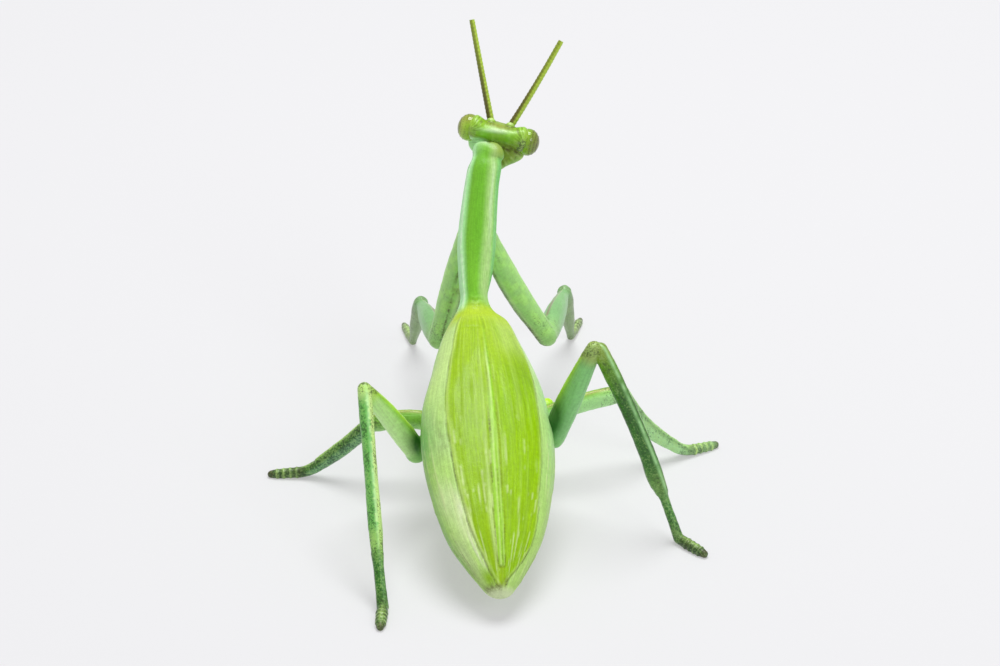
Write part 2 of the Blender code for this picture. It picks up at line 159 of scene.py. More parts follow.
JOINT_SHIFT = {
    ("hind", "right"): {0: (0.0, 0.0, -0.5), 1: (0.9, 0.0, 0.3), 2: (0.5, 0.0, 0.0)},
    ("hind", "left"): {1: (0.15, 0.0, -0.25), 2: (-0.2, 0.0, 0.0)},
    ("mid", "right"): {0: (0.0, 0.0, 0.1), 1: (1.2, 0.0, 0.85)},
    ("mid", "left"): {1: (0.0, 0.0, 0.2)},
    ("fore", "left"): {2: (0.5, 0.0, 0.0)},
    ("fore", "right"): {1: (-0.3, 0.0, 0.0), 2: (-0.15, 0.0, 0.0)},
}
KNEE_STEP = {("hind", "right"): (-1.7, 0.0, -0.6)}
HEEL_SHIFT = {"left": -0.5, "right": 0.6}
SHANK_RADIUS = {"left": 1.55, "right": 1.36}
KNEE_CAP = {"left": 0.3, "right": 0.8}
KNEE_RADII = (1.5, 3.0, 1.5)
KNEE_FORWARD = 3.2
ANKLE_BEND = 4.2
LIMB_SECTION = {
    "fore_coxa": (0.94, 0.0),
    "fore_femur": (1.12, 0.0),
    "fore_tibia": (1.0, 0.06),
    "mid_femur": (1.08, 0.06),
    "mid_tibia": (1.06, 0.08),
    "hind_femur": (1.06, 0.0),
    "hind_tibia": (1.02, 0.14),
}
HIP_REACH = {("mid", "right"): (-5.3, -4.5, 2.2)}
PLAIN_REACH = (8.0, -1.0, 4.5)
FOOT_RADIUS = {"fore": 1.3, "mid": 1.55, "hind": 1.58}
RING_PAINT = {("fore", "left"): 0.2, ("fore", "right"): 0.2, ("mid", "left"): 0.6, ("mid", "right"): 0.9,
              ("hind", "left"): 0.5, ("hind", "right"): 0.15}
RING_SPAN = (0.34, 0.84)
RING_SEAT = 0.98
JOINT_BLEND = 0.35
CLAW = 0.6
CLAW_RADII = (0.55, 0.34)
CLAW_SPREAD = 0.35
CLAW_DROP = 0.25
LEG_VOXEL = 0.22

# Painted finishes: brushed lines to a unit of flow, hatching, depth of the relief in mm, and specular level
FINISHES = {
    "trunk_paint": (1.7, 0.1, 0.1, 0.22),
    "head_paint": (1.6, 0.8, 0.04, 0.5),
    "feeler_paint": (3.0, 0.6, 0.03, 0.5),
    "fore_leg_paint": (1.6, 0.6, 0.04, 0.5),
    "mid_leg_paint": (1.4, 0.9, 0.05, 0.5),
    "hind_leg_paint": (1.4, 0.4, 0.05, 0.5),
}
LIGHT_DOTS = 0.5
DARK_DOTS = 0.8
PIT_DEPTH = 0.6
PEEL_DEPTH = 1.2
WASH_DULLING = 0.25

# Stage
CAMERA_AT = (53.3, 651.6, 421.2)
AIM = (-7.8, -75.4, 0.0)
CAMERA_LENS = 93.6
FLOOR_SIZE = 6.0
FLOOR_TONE = (0.42, 0.424, 0.43)
FLOOR_GLOW = 0.37
FLOOR_GLOW_TONE = (1, 0.98, 1.005)
AMBIENT_TONE = (0.985, 0.95, 1.0)
LAMP_TONE = (0.98, 1.0, 0.98)
LAMPS = (
    ("overhead", (-0.1, -0.3, 1.45), 0.9, 17.0),
    ("back", (-0.9, 1.2, 1.1), 0.8, 5.5),
)

# Paints
WING = srgb(150, 190, 14)
WING_DEEP = srgb(146, 194, 0)
WING_FRONT = srgb(158, 196, 22)
SHADE_LIME = srgb(128, 174, 10)
FLANK = srgb(176, 216, 114)
FLANK_GREEN = srgb(156, 204, 108)
FLANK_PALE = srgb(200, 228, 144)
HIP_SHADE_GREEN = srgb(92, 164, 84)
BELLY = srgb(166, 204, 116)
RIM_LIT_GREEN = srgb(104, 206, 80)
RIM_GREEN = srgb(128, 186, 96)
RIB_PALE = srgb(206, 232, 140)
RIB_GREEN = srgb(150, 214, 48)
TIP_LIME = srgb(138, 182, 30)
TAIL_GREY = srgb(222, 234, 190)
LEAF = srgb(118, 186, 50)
LEAF_DEEP = srgb(106, 180, 38)
LEAF_LIGHT = srgb(128, 200, 52)
HIGHLIGHT_BAND = srgb(182, 222, 138)
MINT = srgb(178, 240, 168)
WHITE_HIGHLIGHT = srgb(220, 244, 208)
WAIST_YELLOW = srgb(176, 206, 44)
COLLAR_OLIVE = srgb(134, 158, 50)
SPECK = srgb(36, 58, 20)
SPECK_LIGHT = srgb(168, 206, 120)
HEAD_GREEN = srgb(112, 178, 22)
HEAD_LIME = srgb(138, 188, 34)
HEAD_RECESS_SHADE = srgb(106, 134, 8)
CHEEK = srgb(136, 176, 96)
SOCKET_HIGHLIGHT = srgb(206, 226, 150)
BROW_BROWN = srgb(140, 134, 58)
EYE_OLIVE = srgb(156, 184, 62)
EYE_BROWN = srgb(110, 118, 52)
EYE_TINT = {"left": srgb(190, 216, 92), "right": srgb(128, 150, 58)}
EYE_DARK = srgb(58, 52, 26)
EYE_SPECK = srgb(172, 176, 96)
FEELER = srgb(128, 150, 36)
FEELER_LIGHT = srgb(172, 200, 60)
FEELER_BROWN = srgb(92, 84, 34)
COXA_GREEN = srgb(160, 212, 112)
COXA_MINT = srgb(142, 192, 114)
FORE_MINT = srgb(122, 174, 112)
FORE_BROWN = srgb(124, 146, 100)
PINK_BROWN = srgb(140, 116, 92)
MID_LIME = srgb(122, 180, 62)
LEG_MINT = srgb(168, 220, 150)
LEG_OCHRE = srgb(160, 160, 66)
LEG_GREEN = srgb(42, 112, 16)
LEG_TEAL = srgb(104, 160, 112)
LEG_BRIGHT = srgb(96, 176, 72)
LEG_SPECKLED = srgb(206, 236, 146)
LEG_LIME = srgb(170, 212, 104)
FEMUR_GREEN = srgb(112, 180, 76)
FEMUR_MINT = srgb(128, 194, 116)
FEMUR_LIME = srgb(174, 218, 20)
FEMUR_PALE = srgb(194, 236, 152)
FEMUR_ROOT_SHADE = srgb(22, 90, 20)
FOOT_GREEN = srgb(44, 84, 28)
FOOT_DARK = srgb(34, 74, 20)
FORE_FOOT = srgb(142, 162, 120)
FOOT_PAINT = {"fore": FORE_FOOT, "mid": FOOT_GREEN, "hind": FOOT_GREEN}
RING_LIME = srgb(186, 224, 120)

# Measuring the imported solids

def unit(vectors):
    return vectors / np.linalg.norm(vectors, axis=-1, keepdims=True)


def read(collection, name, width, kind=np.float32):
    values = np.zeros(len(collection) * width, kind)
    collection.foreach_get(name, values)
    return values.reshape(-1, width)


def positions(mesh):
    return read(mesh.vertices, "co", 3).astype(float) / MM


def edges_of(mesh):
    return read(mesh.edges, "vertices", 2, np.int32)


class Solid:
    """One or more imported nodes, in millimetres, ready to be cut by planes."""

    def __init__(self, *nodes):
        points, edges, count = [], [], 0
        for node in nodes:
            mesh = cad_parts[node].data
            points.append(positions(mesh))
            edges.append(edges_of(mesh) + count)
            count += len(mesh.vertices)
        self.points = np.concatenate(points)
        self.edges = np.concatenate(edges)

    def axis(self, towards):
        """The ends of the long axis, the second one being the end that lies towards a direction."""
        middle = (self.points.min(0) + self.points.max(0)) / 2
        ahead = np.linalg.svd(self.points - self.points.mean(0), full_matrices=False)[2][0]
        if ahead @ towards < 0:
            ahead = -ahead
        reach = (self.points - middle) @ ahead
        return middle + ahead * reach.min(), middle + ahead * reach.max()

    def section(self, point, ahead, side, top):
        """Lowest and highest reach along side and along top of the cut through a point."""
        depth = (self.points - point) @ ahead
        crossed = depth[self.edges[:, 0]] * depth[self.edges[:, 1]] < 0
        one, other = self.edges[crossed].T
        share = (depth[one] / (depth[one] - depth[other]))[:, None]
        hits = self.points[one] + (self.points[other] - self.points[one]) * share - point
        across, rise = hits @ side, hits @ top
        return across.min(), across.max(), rise.min(), rise.max()


def cross_frame(ahead, roll=0.0):
    """Directions to the figure's left and to its back, square to a direction of travel."""
    side = unit(np.cross(UP, ahead))
    top = np.cross(ahead, side)
    turn = np.reshape(roll, np.shape(roll) + (1,)) if np.ndim(roll) else roll
    return side * np.cos(turn) + top * np.sin(turn), top * np.cos(turn) - side * np.sin(turn)


def follow(stops, values, at):
    """Values along a smooth curve that passes through the given values at the given stops."""
    stops, values = np.asarray(stops, float), np.asarray(values, float)
    slopes = np.gradient(values, stops, axis=0)
    i = np.clip(np.searchsorted(stops, at) - 1, 0, len(stops) - 2)
    span = stops[i + 1] - stops[i]
    t = np.clip((at - stops[i]) / span, 0, 1)
    if values.ndim > 1:
        span, t = span[:, None], t[:, None]
    blend = t * t * (3 - 2 * t)
    bend = slopes[i] * span * t * (1 - t) ** 2 - slopes[i + 1] * span * t * t * (1 - t)
    return values[i] * (1 - blend) + values[i + 1] * blend + bend


def lengths(points):
    """Distance along a path at each of its points."""
    return np.concatenate([[0], np.cumsum(np.linalg.norm(np.diff(points, axis=0), axis=1))])


def measure(solid, start, end, fractions, level, roll):
    """Centres and half sizes (side, above, below) of sections across a long solid, in two passes."""
    centres = start + (end - start) * np.asarray(fractions)[:, None]
    for _ in range(2):
        ahead = unit(np.gradient(centres, axis=0))
        sides, tops = cross_frame(ahead, roll)
        sizes = []
        for i, centre in enumerate(centres.copy()):
            left, right, low, high = solid.section(centre, ahead[i], sides[i], tops[i])
            middle = low + (high - low) * level
            centres[i] = centre + sides[i] * (left + right) / 2 + tops[i] * middle
            sizes.append(((right - left) / 2, high - middle, middle - low))
    return centres, np.array(sizes)


# Shaping with numbers

def step(values, edge, soft):
    """0 below an edge and 1 above it, with a soft change."""
    t = np.clip((values - edge) / soft + 0.5, 0, 1)
    return t * t * (3 - 2 * t)


def near(values, centre, width):
    """1 at a centre, falling to 0 a few widths away."""
    return np.exp(-((values - centre) / width) ** 2)


def noise(x, y, seed):
    """Smooth random values from -1 to 1 on a plane, with one bump to each unit square."""
    lattice = np.random.default_rng(seed).uniform(-1, 1, (128, 128))
    i, j = np.floor(x).astype(int), np.floor(y).astype(int)
    u, v = x - i, y - j
    u, v = u * u * (3 - 2 * u), v * v * (3 - 2 * v)
    i0, i1, j0, j1 = i % 128, (i + 1) % 128, j % 128, (j + 1) % 128
    low = lattice[i0, j0] * (1 - u) + lattice[i1, j0] * u
    high = lattice[i0, j1] * (1 - u) + lattice[i1, j1] * u
    return low * (1 - v) + high * v


def blend(colour, other, share):
    """Mixes a colour or an array of colours into another by a share for each vertex."""
    return colour + (np.asarray(other) - colour) * np.asarray(share)[..., None]


def coated(colour, *coats):
    """Lays coats of paint over a colour, each given as its colour and its share for each vertex."""
    for paint, share in coats:
        colour = blend(colour, paint, share)
    return colour


def relaxed(points, edges, times, share=0.5):
    """Points moved towards the mean of their neighbours, over and over."""
    count = len(points)
    ends, others = np.concatenate([edges, edges[:, ::-1]]).T
    degree = np.bincount(ends, minlength=count)[:, None]
    for _ in range(times):
        sums = [np.bincount(ends, points[others, k], count) for k in range(points.shape[1])]
        points = points + (np.stack(sums, 1) / degree - points) * share
    return points


def set_points(mesh, points):
    mesh.vertices.foreach_set("co", (points * MM).ravel())
    mesh.update()


def normals_of(mesh):
    return read(mesh.vertex_normals, "vector", 3).astype(float)


def put(mesh, name, kind, values):
    """Stores one value for each vertex under a name."""
    attribute = mesh.attributes.new(name, kind, "POINT")
    if kind == "FLOAT":
        attribute.data.foreach_set("value", values.astype(np.float32))
    elif kind == "FLOAT_COLOR":
        full = np.concatenate([values, np.ones((len(values), 1))], 1)
        attribute.data.foreach_set("color", full.astype(np.float32).ravel())
    else:
        attribute.data.foreach_set("vector", values.astype(np.float32).ravel())


def hollows(mesh, times):
    """How far each vertex lies below the smoothed surface, in mm: over 0 in grooves, under 0 on edges."""
    points = positions(mesh)
    edges = edges_of(mesh)
    return ((relaxed(points, edges, times) - points) * normals_of(mesh)).sum(1)


def linked(name, data):
    """A new object in the scene."""
    made = bpy.data.objects.new(name, data)
    bpy.context.scene.collection.objects.link(made)
    return made


def evaluated_mesh(carrier):
    """The mesh of an object with its modifiers applied."""
    return bpy.data.meshes.new_from_object(carrier.evaluated_get(bpy.context.evaluated_depsgraph_get()))


def plain_mesh(carrier):
    """The mesh of an object with its modifiers applied. The object is removed."""
    mesh = evaluated_mesh(carrier)
    bpy.data.objects.remove(carrier)
    return mesh


def rework(mesh, *changes):
    """Runs mesh operations on a mesh, one after another."""
    bm = bmesh.new()
    bm.from_mesh(mesh)
    for change in changes:
        change(bm)
    bm.to_mesh(mesh)
    bm.free()


def face_out(bm):
    bmesh.ops.recalc_face_normals(bm, faces=bm.faces)


def turn_over(bm):
    bmesh.ops.reverse_faces(bm, faces=bm.faces)


def weld(bm):
    bmesh.ops.remove_doubles(bm, verts=bm.verts, dist=WELD * MM)


def turns(count):
    """Angles evenly spaced round a full turn."""
    return np.linspace(0, 2 * math.pi, count, endpoint=False)


def tube_faces(rows, columns, first=0):
    """Faces of a closed tube of rings: the quads between its rows, and a cap at each end."""
    index = np.arange(rows * columns).reshape(rows, columns) + first
    after = np.roll(index, -1, axis=1)
    quads = np.stack([index[:-1], index[1:], after[1:], after[:-1]], -1).reshape(-1, 4)
    return [*quads.tolist(), index[0].tolist(), index[-1][::-1].tolist()]


def closed_mesh(name, points, faces):
    """A mesh of closed forms with its faces outward."""
    mesh = bpy.data.meshes.new(name)
    mesh.from_pydata(points.tolist(), [], faces)
    rework(mesh, face_out)
    return mesh


def piece(name, mesh, material, nodes):
    """Puts a finished mesh in the scene as a piece of the figure."""
    mesh.materials.clear()
    mesh.materials.append(material)
    mesh.shade_smooth()
    part = linked(name, mesh)
    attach(part, "root")
    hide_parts(*nodes)


def paint_on(mesh, paint, wash, dry, stipple, flow):
    """The attributes that every painted material reads."""
    put(mesh, "paint", "FLOAT_COLOR", np.clip(paint, 0, 1))
    put(mesh, "wash", "FLOAT", np.clip(wash, 0, 1))
    put(mesh, "dry", "FLOAT", np.clip(dry, 0, 1))
    put(mesh, "stipple", "FLOAT", np.clip(stipple, 0, 1))
    put(mesh, "flow", "FLOAT_VECTOR", flow)


# Materials

FLOAT, WHOLE, COLOUR, VECTOR = "NodeSocketFloat", "NodeSocketInt", "NodeSocketColor", "NodeSocketVector"


class Net:
    """Adds nodes to a tree. An input that is a socket is linked, and any other is set."""

    def __init__(self, tree):
        self.tree = tree

    def add(self, kind, inputs=None, **settings):
        made = self.tree.nodes.new(kind)
        for name, value in settings.items():
            setattr(made, name, value)
        self.fill(made, inputs or {})
        return made

    def fill(self, made, inputs):
        """Sets or links the inputs of a node that is there already."""
        for key, value in inputs.items():
            if isinstance(value, bpy.types.NodeSocket):
                self.tree.links.new(value, made.inputs[key])
            else:
                made.inputs[key].default_value = value

    def math(self, operation, a, b=0.0):
        return self.add("ShaderNodeMath", {0: a, 1: b}, operation=operation).outputs[0]

    def mix(self, share, a, b, mode="MIX"):
        made = self.add("ShaderNodeMix", {"Factor": share}, data_type="RGBA", blend_type=mode)
        for index, value in ((6, a), (7, b)):
            if isinstance(value, bpy.types.NodeSocket):
                self.tree.links.new(value, made.inputs[index])
            else:
                made.inputs[index].default_value = (*value[:3], 1)
        return made.outputs[2]

    def ramp(self, value, low, high, start=0.0, end=1.0):
        limits = {"Value": value, "From Min": low, "From Max": high, "To Min": start, "To Max": end}
        return self.add("ShaderNodeMapRange", limits, interpolation_type="SMOOTHSTEP").outputs["Result"]

    def between(self, share, start, end):
        limits = {"Value": share, "To Min": start, "To Max": end}
        return self.add("ShaderNodeMapRange", limits).outputs["Result"]

    def product(self, first, *others):
        for other in others:
            first = self.math("MULTIPLY", first, other)
        return first

    def attribute(self, name, output="Fac"):
        return self.add("ShaderNodeAttribute", attribute_name=name).outputs[output]

    def shared(self, name, maker, inputs):
        """A node of a shared group, which is built the first time that it is asked for."""
        group = bpy.data.node_groups.get(name) or maker()
        return self.add("ShaderNodeGroup", inputs, node_tree=group).outputs


def new_group(name, inputs, outputs):
    """A shader node group with its sockets, and the ends of its tree."""
    group = bpy.data.node_groups.new(name, "ShaderNodeTree")
    for socket, kind, value in inputs:
        made = group.interface.new_socket(socket, in_out="INPUT", socket_type=kind)
        if value is not None:
            made.default_value = value
    for socket, kind in outputs:
        group.interface.new_socket(socket, in_out="OUTPUT", socket_type=kind)
    net = Net(group)
    return group, net, net.add("NodeGroupInput").outputs, net.add("NodeGroupOutput").inputs


def grain_group():
    """Fine brushed lines that run along the piece's flow, with finer cross-hatching."""
    group, net, given, out = new_group(
        "Brushed grain",
        (("Flow", VECTOR, None), ("Lines", FLOAT, 2.2), ("Stretch", FLOAT, 0.12), ("Hatching", FLOAT, 0.3)),
        (("Height", FLOAT), ("Streaks", FLOAT)),
    )
    parts = net.add("ShaderNodeSeparateXYZ", {0: given["Flow"]}).outputs
    across = net.math("MULTIPLY", parts["Y"], given["Lines"])
    along = net.math("MULTIPLY", parts["X"], given["Stretch"])
    place = net.add("ShaderNodeCombineXYZ", {"X": along, "Y": across, "Z": parts["Z"]}).outputs[0]
    lines = net.add("ShaderNodeTexNoise", {"Vector": place, "Scale": 1.0, "Detail": 4.0, "Roughness": 0.65})
    hatch_along = net.math("MULTIPLY", parts["X"], 2.6)
    hatch_across = net.math("MULTIPLY", parts["Y"], 0.5)
    hatch_place = net.add("ShaderNodeCombineXYZ", {"X": hatch_along, "Y": hatch_across, "Z": 7.0}).outputs[0]
    hatch = net.add("ShaderNodeTexNoise", {"Vector": hatch_place, "Scale": 1.0, "Detail": 2.0})
    crossed = net.math("MULTIPLY", hatch.outputs["Fac"], given["Hatching"])
    height = net.math("ADD", lines.outputs["Fac"], crossed)
    net.tree.links.new(height, out["Height"])
    net.tree.links.new(net.ramp(lines.outputs["Fac"], 0.52, 0.72), out["Streaks"])
    return group


def speckle_group():
    """Small irregular dots, as left by a stippling brush."""
    group, net, given, out = new_group(
        "Stippled speckle",
        (("Density", FLOAT, 0.5), ("Size", FLOAT, 1900.0)),
        (("Dark", FLOAT), ("Light", FLOAT)),
    )
    place = net.add("ShaderNodeTexCoord").outputs["Object"]
    dots = net.add("ShaderNodeTexNoise", {
        "Vector": place, "Scale": given["Size"], "Detail": 4.0, "Roughness": 0.7,
    })
    patches = net.add("ShaderNodeTexNoise", {"Vector": place, "Scale": 260.0, "Detail": 2.0})
    level = net.math("ADD", dots.outputs["Fac"], net.math("MULTIPLY", patches.outputs["Fac"], 0.4))
    reach = net.math("MULTIPLY", given["Density"], 0.22)
    dark = net.math("MULTIPLY", net.math("SUBTRACT", level, net.math("SUBTRACT", 0.9, reach)), 14.0)
    light = net.math("MULTIPLY", net.math("SUBTRACT", net.math("ADD", 0.5, reach), level), 14.0)
    net.tree.links.new(net.add("ShaderNodeClamp", {"Value": dark}).outputs[0], out["Dark"])
    net.tree.links.new(net.add("ShaderNodeClamp", {"Value": light}).outputs[0], out["Light"])
    return group


def mottle_group():
    """Uneven coverage of the base paint and the orange-peel skin that it dries to."""
    group, net, given, out = new_group(
        "Mottled coat", (("Scale", FLOAT, 900.0),), (("Shade", FLOAT), ("Height", FLOAT)),
    )
    place = net.add("ShaderNodeTexCoord").outputs["Object"]
    patches = net.add("ShaderNodeTexNoise", {
        "Vector": place, "Scale": given["Scale"], "Detail": 5.0, "Roughness": 0.7,
    })
    net.tree.links.new(net.ramp(patches.outputs["Fac"], 0.34, 0.68, 0.95, 1.09), out["Shade"])
    net.tree.links.new(patches.outputs["Fac"], out["Height"])
    return group


def wash_group():
    """Thin dark paint settled in hollows, also laid as painted shade in recesses, broken up at its edges."""
    group, net, given, out = new_group(
        "Dark wash",
        (("Colour", COLOUR, (0.2, 0.5, 0.1, 1)), ("Wash", COLOUR, (0.05, 0.05, 0.02, 1)),
         ("Amount", FLOAT, 0.0), ("Strength", FLOAT, 1.0)),
        (("Colour", COLOUR), ("Mask", FLOAT)),
    )
    place = net.add("ShaderNodeTexCoord").outputs["Object"]
    breaks = net.add("ShaderNodeTexNoise", {"Vector": place, "Scale": 1400.0, "Detail": 3.0}).outputs["Fac"]
    mask = net.product(given["Amount"], net.ramp(breaks, 0.2, 0.62), given["Strength"])
    capped = net.add("ShaderNodeClamp", {"Value": mask}).outputs[0]
    net.tree.links.new(net.mix(capped, given["Colour"], given["Wash"]), out["Colour"])
    net.tree.links.new(capped, out["Mask"])
    return group


def new_material(name):
    """A material, with its net and its shader."""
    material = bpy.data.materials.new(name)
    material.use_nodes = True
    return material, Net(material.node_tree), material.node_tree.nodes["Principled BSDF"]


def painted(name, props):
    """Satin hand-painted finish: base paint, brushed grain, stipple, dry-brushed edges and dark wash."""
    lines, hatching, depth, specular = FINISHES[name]
    material, net, shader = new_material(name)
    flow = net.attribute("flow", "Vector")
    stipple = net.attribute("stipple")
    grain = net.shared("Brushed grain", grain_group, {"Flow": flow, "Lines": lines, "Hatching": hatching})
    dots = net.shared("Stippled speckle", speckle_group, {"Density": stipple})
    coat = net.shared("Mottled coat", mottle_group, {})
    shade = net.ramp(grain["Height"], 0.35, 0.85, 0.88, 1.18)
    tinted = net.mix(1.0, net.attribute("paint", "Color"), net.product(shade, coat["Shade"]), "MULTIPLY")
    lit = net.mix(net.product(dots["Light"], stipple, LIGHT_DOTS), tinted, SPECK_LIGHT)
    stippled = net.mix(net.product(dots["Dark"], stipple, DARK_DOTS), lit, SPECK)
    streaked = net.product(net.attribute("dry"), net.ramp(grain["Streaks"], 0.0, 1.0, 0.55, 1.0))
    washed = net.shared("Dark wash", wash_group, {
        "Colour": net.mix(streaked, stippled, tuple(props.dry_colour)), "Wash": (*props.wash_colour, 1),
        "Amount": net.attribute("wash"), "Strength": props.wash_strength,
    })
    pits = net.product(dots["Dark"], stipple, -PIT_DEPTH)
    relief = net.math("ADD", net.math("ADD", grain["Height"], pits), net.product(coat["Height"], PEEL_DEPTH))
    bump = net.add("ShaderNodeBump", {"Height": relief, "Distance": depth * MM, "Strength": 1.0})
    net.fill(shader, {
        "Base Color": washed["Colour"], "Normal": bump.outputs["Normal"],
        "Roughness": net.ramp(washed["Mask"], 0.0, 1.0, props.roughness, props.roughness + WASH_DULLING),
        "Coat Weight": 0.12, "Coat Roughness": 0.15, "IOR": 1.45, "Specular IOR Level": specular,
    })
    return material


# Trunk

def trunk_path():
    """Stops, centres and half sizes of the sections from the tail to inside the head."""
    hind = Solid("abdomen", "thorax", "wing_left", "wing_right")
    front = Solid("prothorax")
    tail, waist = hind.axis(-np.eye(3)[1])
    fractions = np.array(BODY_STATIONS) / np.linalg.norm(waist - tail)
    back_centres, back_sizes = measure(hind, tail, waist, fractions, BODY_LEVEL, BODY_ROLL)
    rear, collar = front.axis(UP)
    front_centres, front_sizes = measure(front, rear, collar, FRONT_STATIONS, 0.5, 0.0)
    ahead = unit(front_centres[-1] - front_centres[-3])
    reach, girth = np.array(COLLAR_ROUNDING).T[..., None]
    centres = np.concatenate([back_centres, front_centres, front_centres[-1] + ahead * COLLAR_REACH * reach])
    sizes = np.concatenate([back_sizes, front_sizes, front_sizes[-1] * girth])
    return lengths(centres) + BODY_STATIONS[0], centres, sizes, len(back_centres)


def eased(rows, reach=16):
    """Rows averaged with their neighbours, to take out small steps along the trunk."""
    weight = np.hanning(2 * reach + 3)[1:-1]
    padded = np.concatenate([rows[:1]] * reach + [rows] + [rows[-1:]] * reach)
    columns = [np.convolve(column, weight / weight.sum(), "valid") for column in padded.T]
    return np.stack(columns, 1)


class Trunk:
    """The grid of the trunk: rows along it from the tail, columns round it from the left flank."""

    def __init__(self):
        stops, centres, sizes, back = trunk_path()
        self.waist = stops[back - 1]
        self.collar = stops[-2]
        self.end = stops[-1]
        row = np.linspace(0, 1, TRUNK_ROWS)
        self.s = TAIL_ROUNDING * 0.02 + (self.end - TAIL_ROUNDING * 0.02) * row
        centre = follow(stops, centres, self.s)
        size = follow(stops, sizes, self.s)
        easing = (step(self.s, 66, 8) * (1 - step(self.s, self.waist + 8, 6)))[:, None]
        size += (eased(size) - size) * easing
        centre += (eased(centre) - centre) * easing
        size *= np.sqrt(1 - np.clip(1 - self.s / TAIL_ROUNDING, 0, 1) ** 2)[:, None]
        ahead = unit(np.gradient(centre, axis=0))
        roll = BODY_ROLL * (1 - step(self.s, self.waist + 4, 16))
        side, top = cross_frame(ahead, roll)
        angle = turns(TRUNK_COLUMNS)
        self.ahead = ahead
        self.grid_s, self.grid_a = np.meshgrid(self.s, np.degrees(angle), indexing="ij")
        rise = np.where(np.sin(angle) >= 0, size[:, 1:2] * np.sin(angle), size[:, 2:3] * np.sin(angle))
        across = size[:, :1] * np.cos(angle)
        self.points = centre[:, None] + side[:, None] * across[..., None] + top[:, None] * rise[..., None]
        self.width = size[:, :1] + 0 * self.grid_a

    def mesh(self):
        return closed_mesh("trunk", self.points.reshape(-1, 3) * MM, tube_faces(*self.grid_s.shape))


def along_line(table, s):
    stops, values = np.array(table, float).T
    return np.interp(s, stops, values)


def trunk_marks(trunk):
    """Where each vertex of the trunk lies: shares from 0 to 1 for its regions and lines."""
    s, a = trunk.grid_s, trunk.grid_a
    wander = 0.5 * noise(s * 0.09, a * 0, 3)
    left = along_line(LEFT_EDGE, s) + wander
    right = along_line(RIGHT_EDGE, s) + wander
    rib_left, rib_right = along_line(RIB_LEFT, s), along_line(RIB_RIGHT, s)
    wings = step(s, 2.2, 1.2) * (1 - step(s, 91, 7))
    rib = step(s, RIB_END, 0.5) * (1 - step(s, 90, 5))
    return {
        "left": a - left, "right": right - a, "wings": wings, "rib": rib,
        "rib_left": a - rib_left, "rib_right": rib_right - a,
        "covered": wings * step(a, left, 1.2) * (1 - step(a, right, 1.2)),
        "hind": 1 - step(s, trunk.waist + 1.0, 3),
        "degree": np.maximum(trunk.width, 0.6) * math.pi / 180,
    }


def trunk_relief(trunk, marks, props):
    """Height in mm to add to each vertex of the trunk along its normal."""
    s, a, degree = trunk.grid_s, trunk.grid_a, marks["degree"]
    left, right = marks["left"] * degree, marks["right"] * degree
    rib_left, rib_right = marks["rib_left"] * degree, marks["rib_right"] * degree
    fade = np.clip(trunk.width / 9, 0.25, 1)
    relief = 0.16 * marks["covered"] * fade + 0.22 * marks["hind"] * (1 - step(s, 50, 30))
    for distance in (left, right):
        relief += marks["wings"] * fade * (0.1 * near(distance, 0.6, 0.4) - 0.2 * near(distance, -0.15, 0.3))
    inside_rib = step(rib_left, 0.0, 0.4) * step(rib_right, 0.0, 0.4)
    relief += marks["rib"] * fade * 0.14 * inside_rib
    middle = (rib_left - rib_right) / 2
    relief += marks["rib"] * fade * 0.16 * near(middle, -0.15, 0.28)
    relief -= marks["rib"] * fade * 0.14 * near(middle, 0.35, 0.22) * (1 - step(s, 62, 12))
    for distance in (rib_left, rib_right):
        relief -= marks["rib"] * 0.16 * fade * near(distance, -0.05, 0.26)
    drifted = a + 1.2 * noise(s * 0.05, a * 0.1, 5)
    veins = noise(s * 0.035, drifted * 0.75, 11) + 0.8 * noise(s * 0.05, drifted * 0.37, 13)
    relief += props.grain * marks["covered"] * fade * veins * (1 - inside_rib * marks["rib"])
    flank_lines = noise(s * 0.06, a * 0.42, 12) * marks["hind"] * (1 - marks["covered"])
    relief += 0.7 * props.grain * flank_lines * fade
    relief += 0.16 * streaks(trunk, marks)
    relief += 0.16 * noise(s * 0.13, a * 0.06, 15) * marks["hind"] * fade
    relief += 0.3 * marks["wings"] * near(a, 79 + 0.06 * s, 2.6) * step(s, 6, 6) * (1 - step(s, 46, 12))
    relief += (0.65 * near(s, 15, 12) + 0.3 * near(s, 34, 12)) * np.maximum(near(a, 5, 45), near(a, 365, 45))
    relief -= (1.2 * near(s, 76, 12) + 0.5 * near(s, 87, 6)) * np.maximum(near(a, 8, 44), near(a, 368, 44))
    relief += (0.6 * near(s, 67, 12) + 0.9 * near(s, 91.5, 4)) * near(a, 166, 38)
    relief += 0.25 * near(s, 28, 16) * np.maximum(near(a, 0, 50), near(a, 180, 50))
    crease = near(s, 84 + 1.6 * np.cos(np.radians(a - 70) * 3), 0.5) * step(a, 44, 4) * (1 - step(a, 88, 4))
    relief -= 0.1 * crease
    belly = near(np.mod(s, BELLY_SEGMENT), BELLY_SEGMENT / 2, 0.5) * marks["hind"]
    under = step(a, 200, 20) * (1 - step(a, 340, 20))
    relief -= 0.25 * belly * under * (1 - step(s, 64, 8))
    return relief + front_relief(trunk)


def streaks(trunk, marks):
    """Short raised flecks that run lengthwise over the rear half of the back and flanks."""
    s, a = trunk.grid_s, trunk.grid_a
    drifted = a + 2.0 * noise(s * 0.12, a * 0.06, 23)
    long_lines = noise(s * 0.07, drifted * 0.8, 21)
    flecks = step(long_lines + 0.25 * noise(s * 0.5, drifted * 1.9, 22), 0.46, 0.26)
    flecks *= step(noise(s * 0.16, a * 0.12, 25), 0.0, 0.5)
    rear = (1 - step(s, 50, 24)) * step(s, 3, 4)
    upper = step(a, -8, 10) * (1 - step(a, 185, 20))
    on_rib = marks["rib"] * step(marks["rib_left"], 0, 1) * step(marks["rib_right"], 0, 1)
    return flecks * rear * upper * (1 - on_rib)


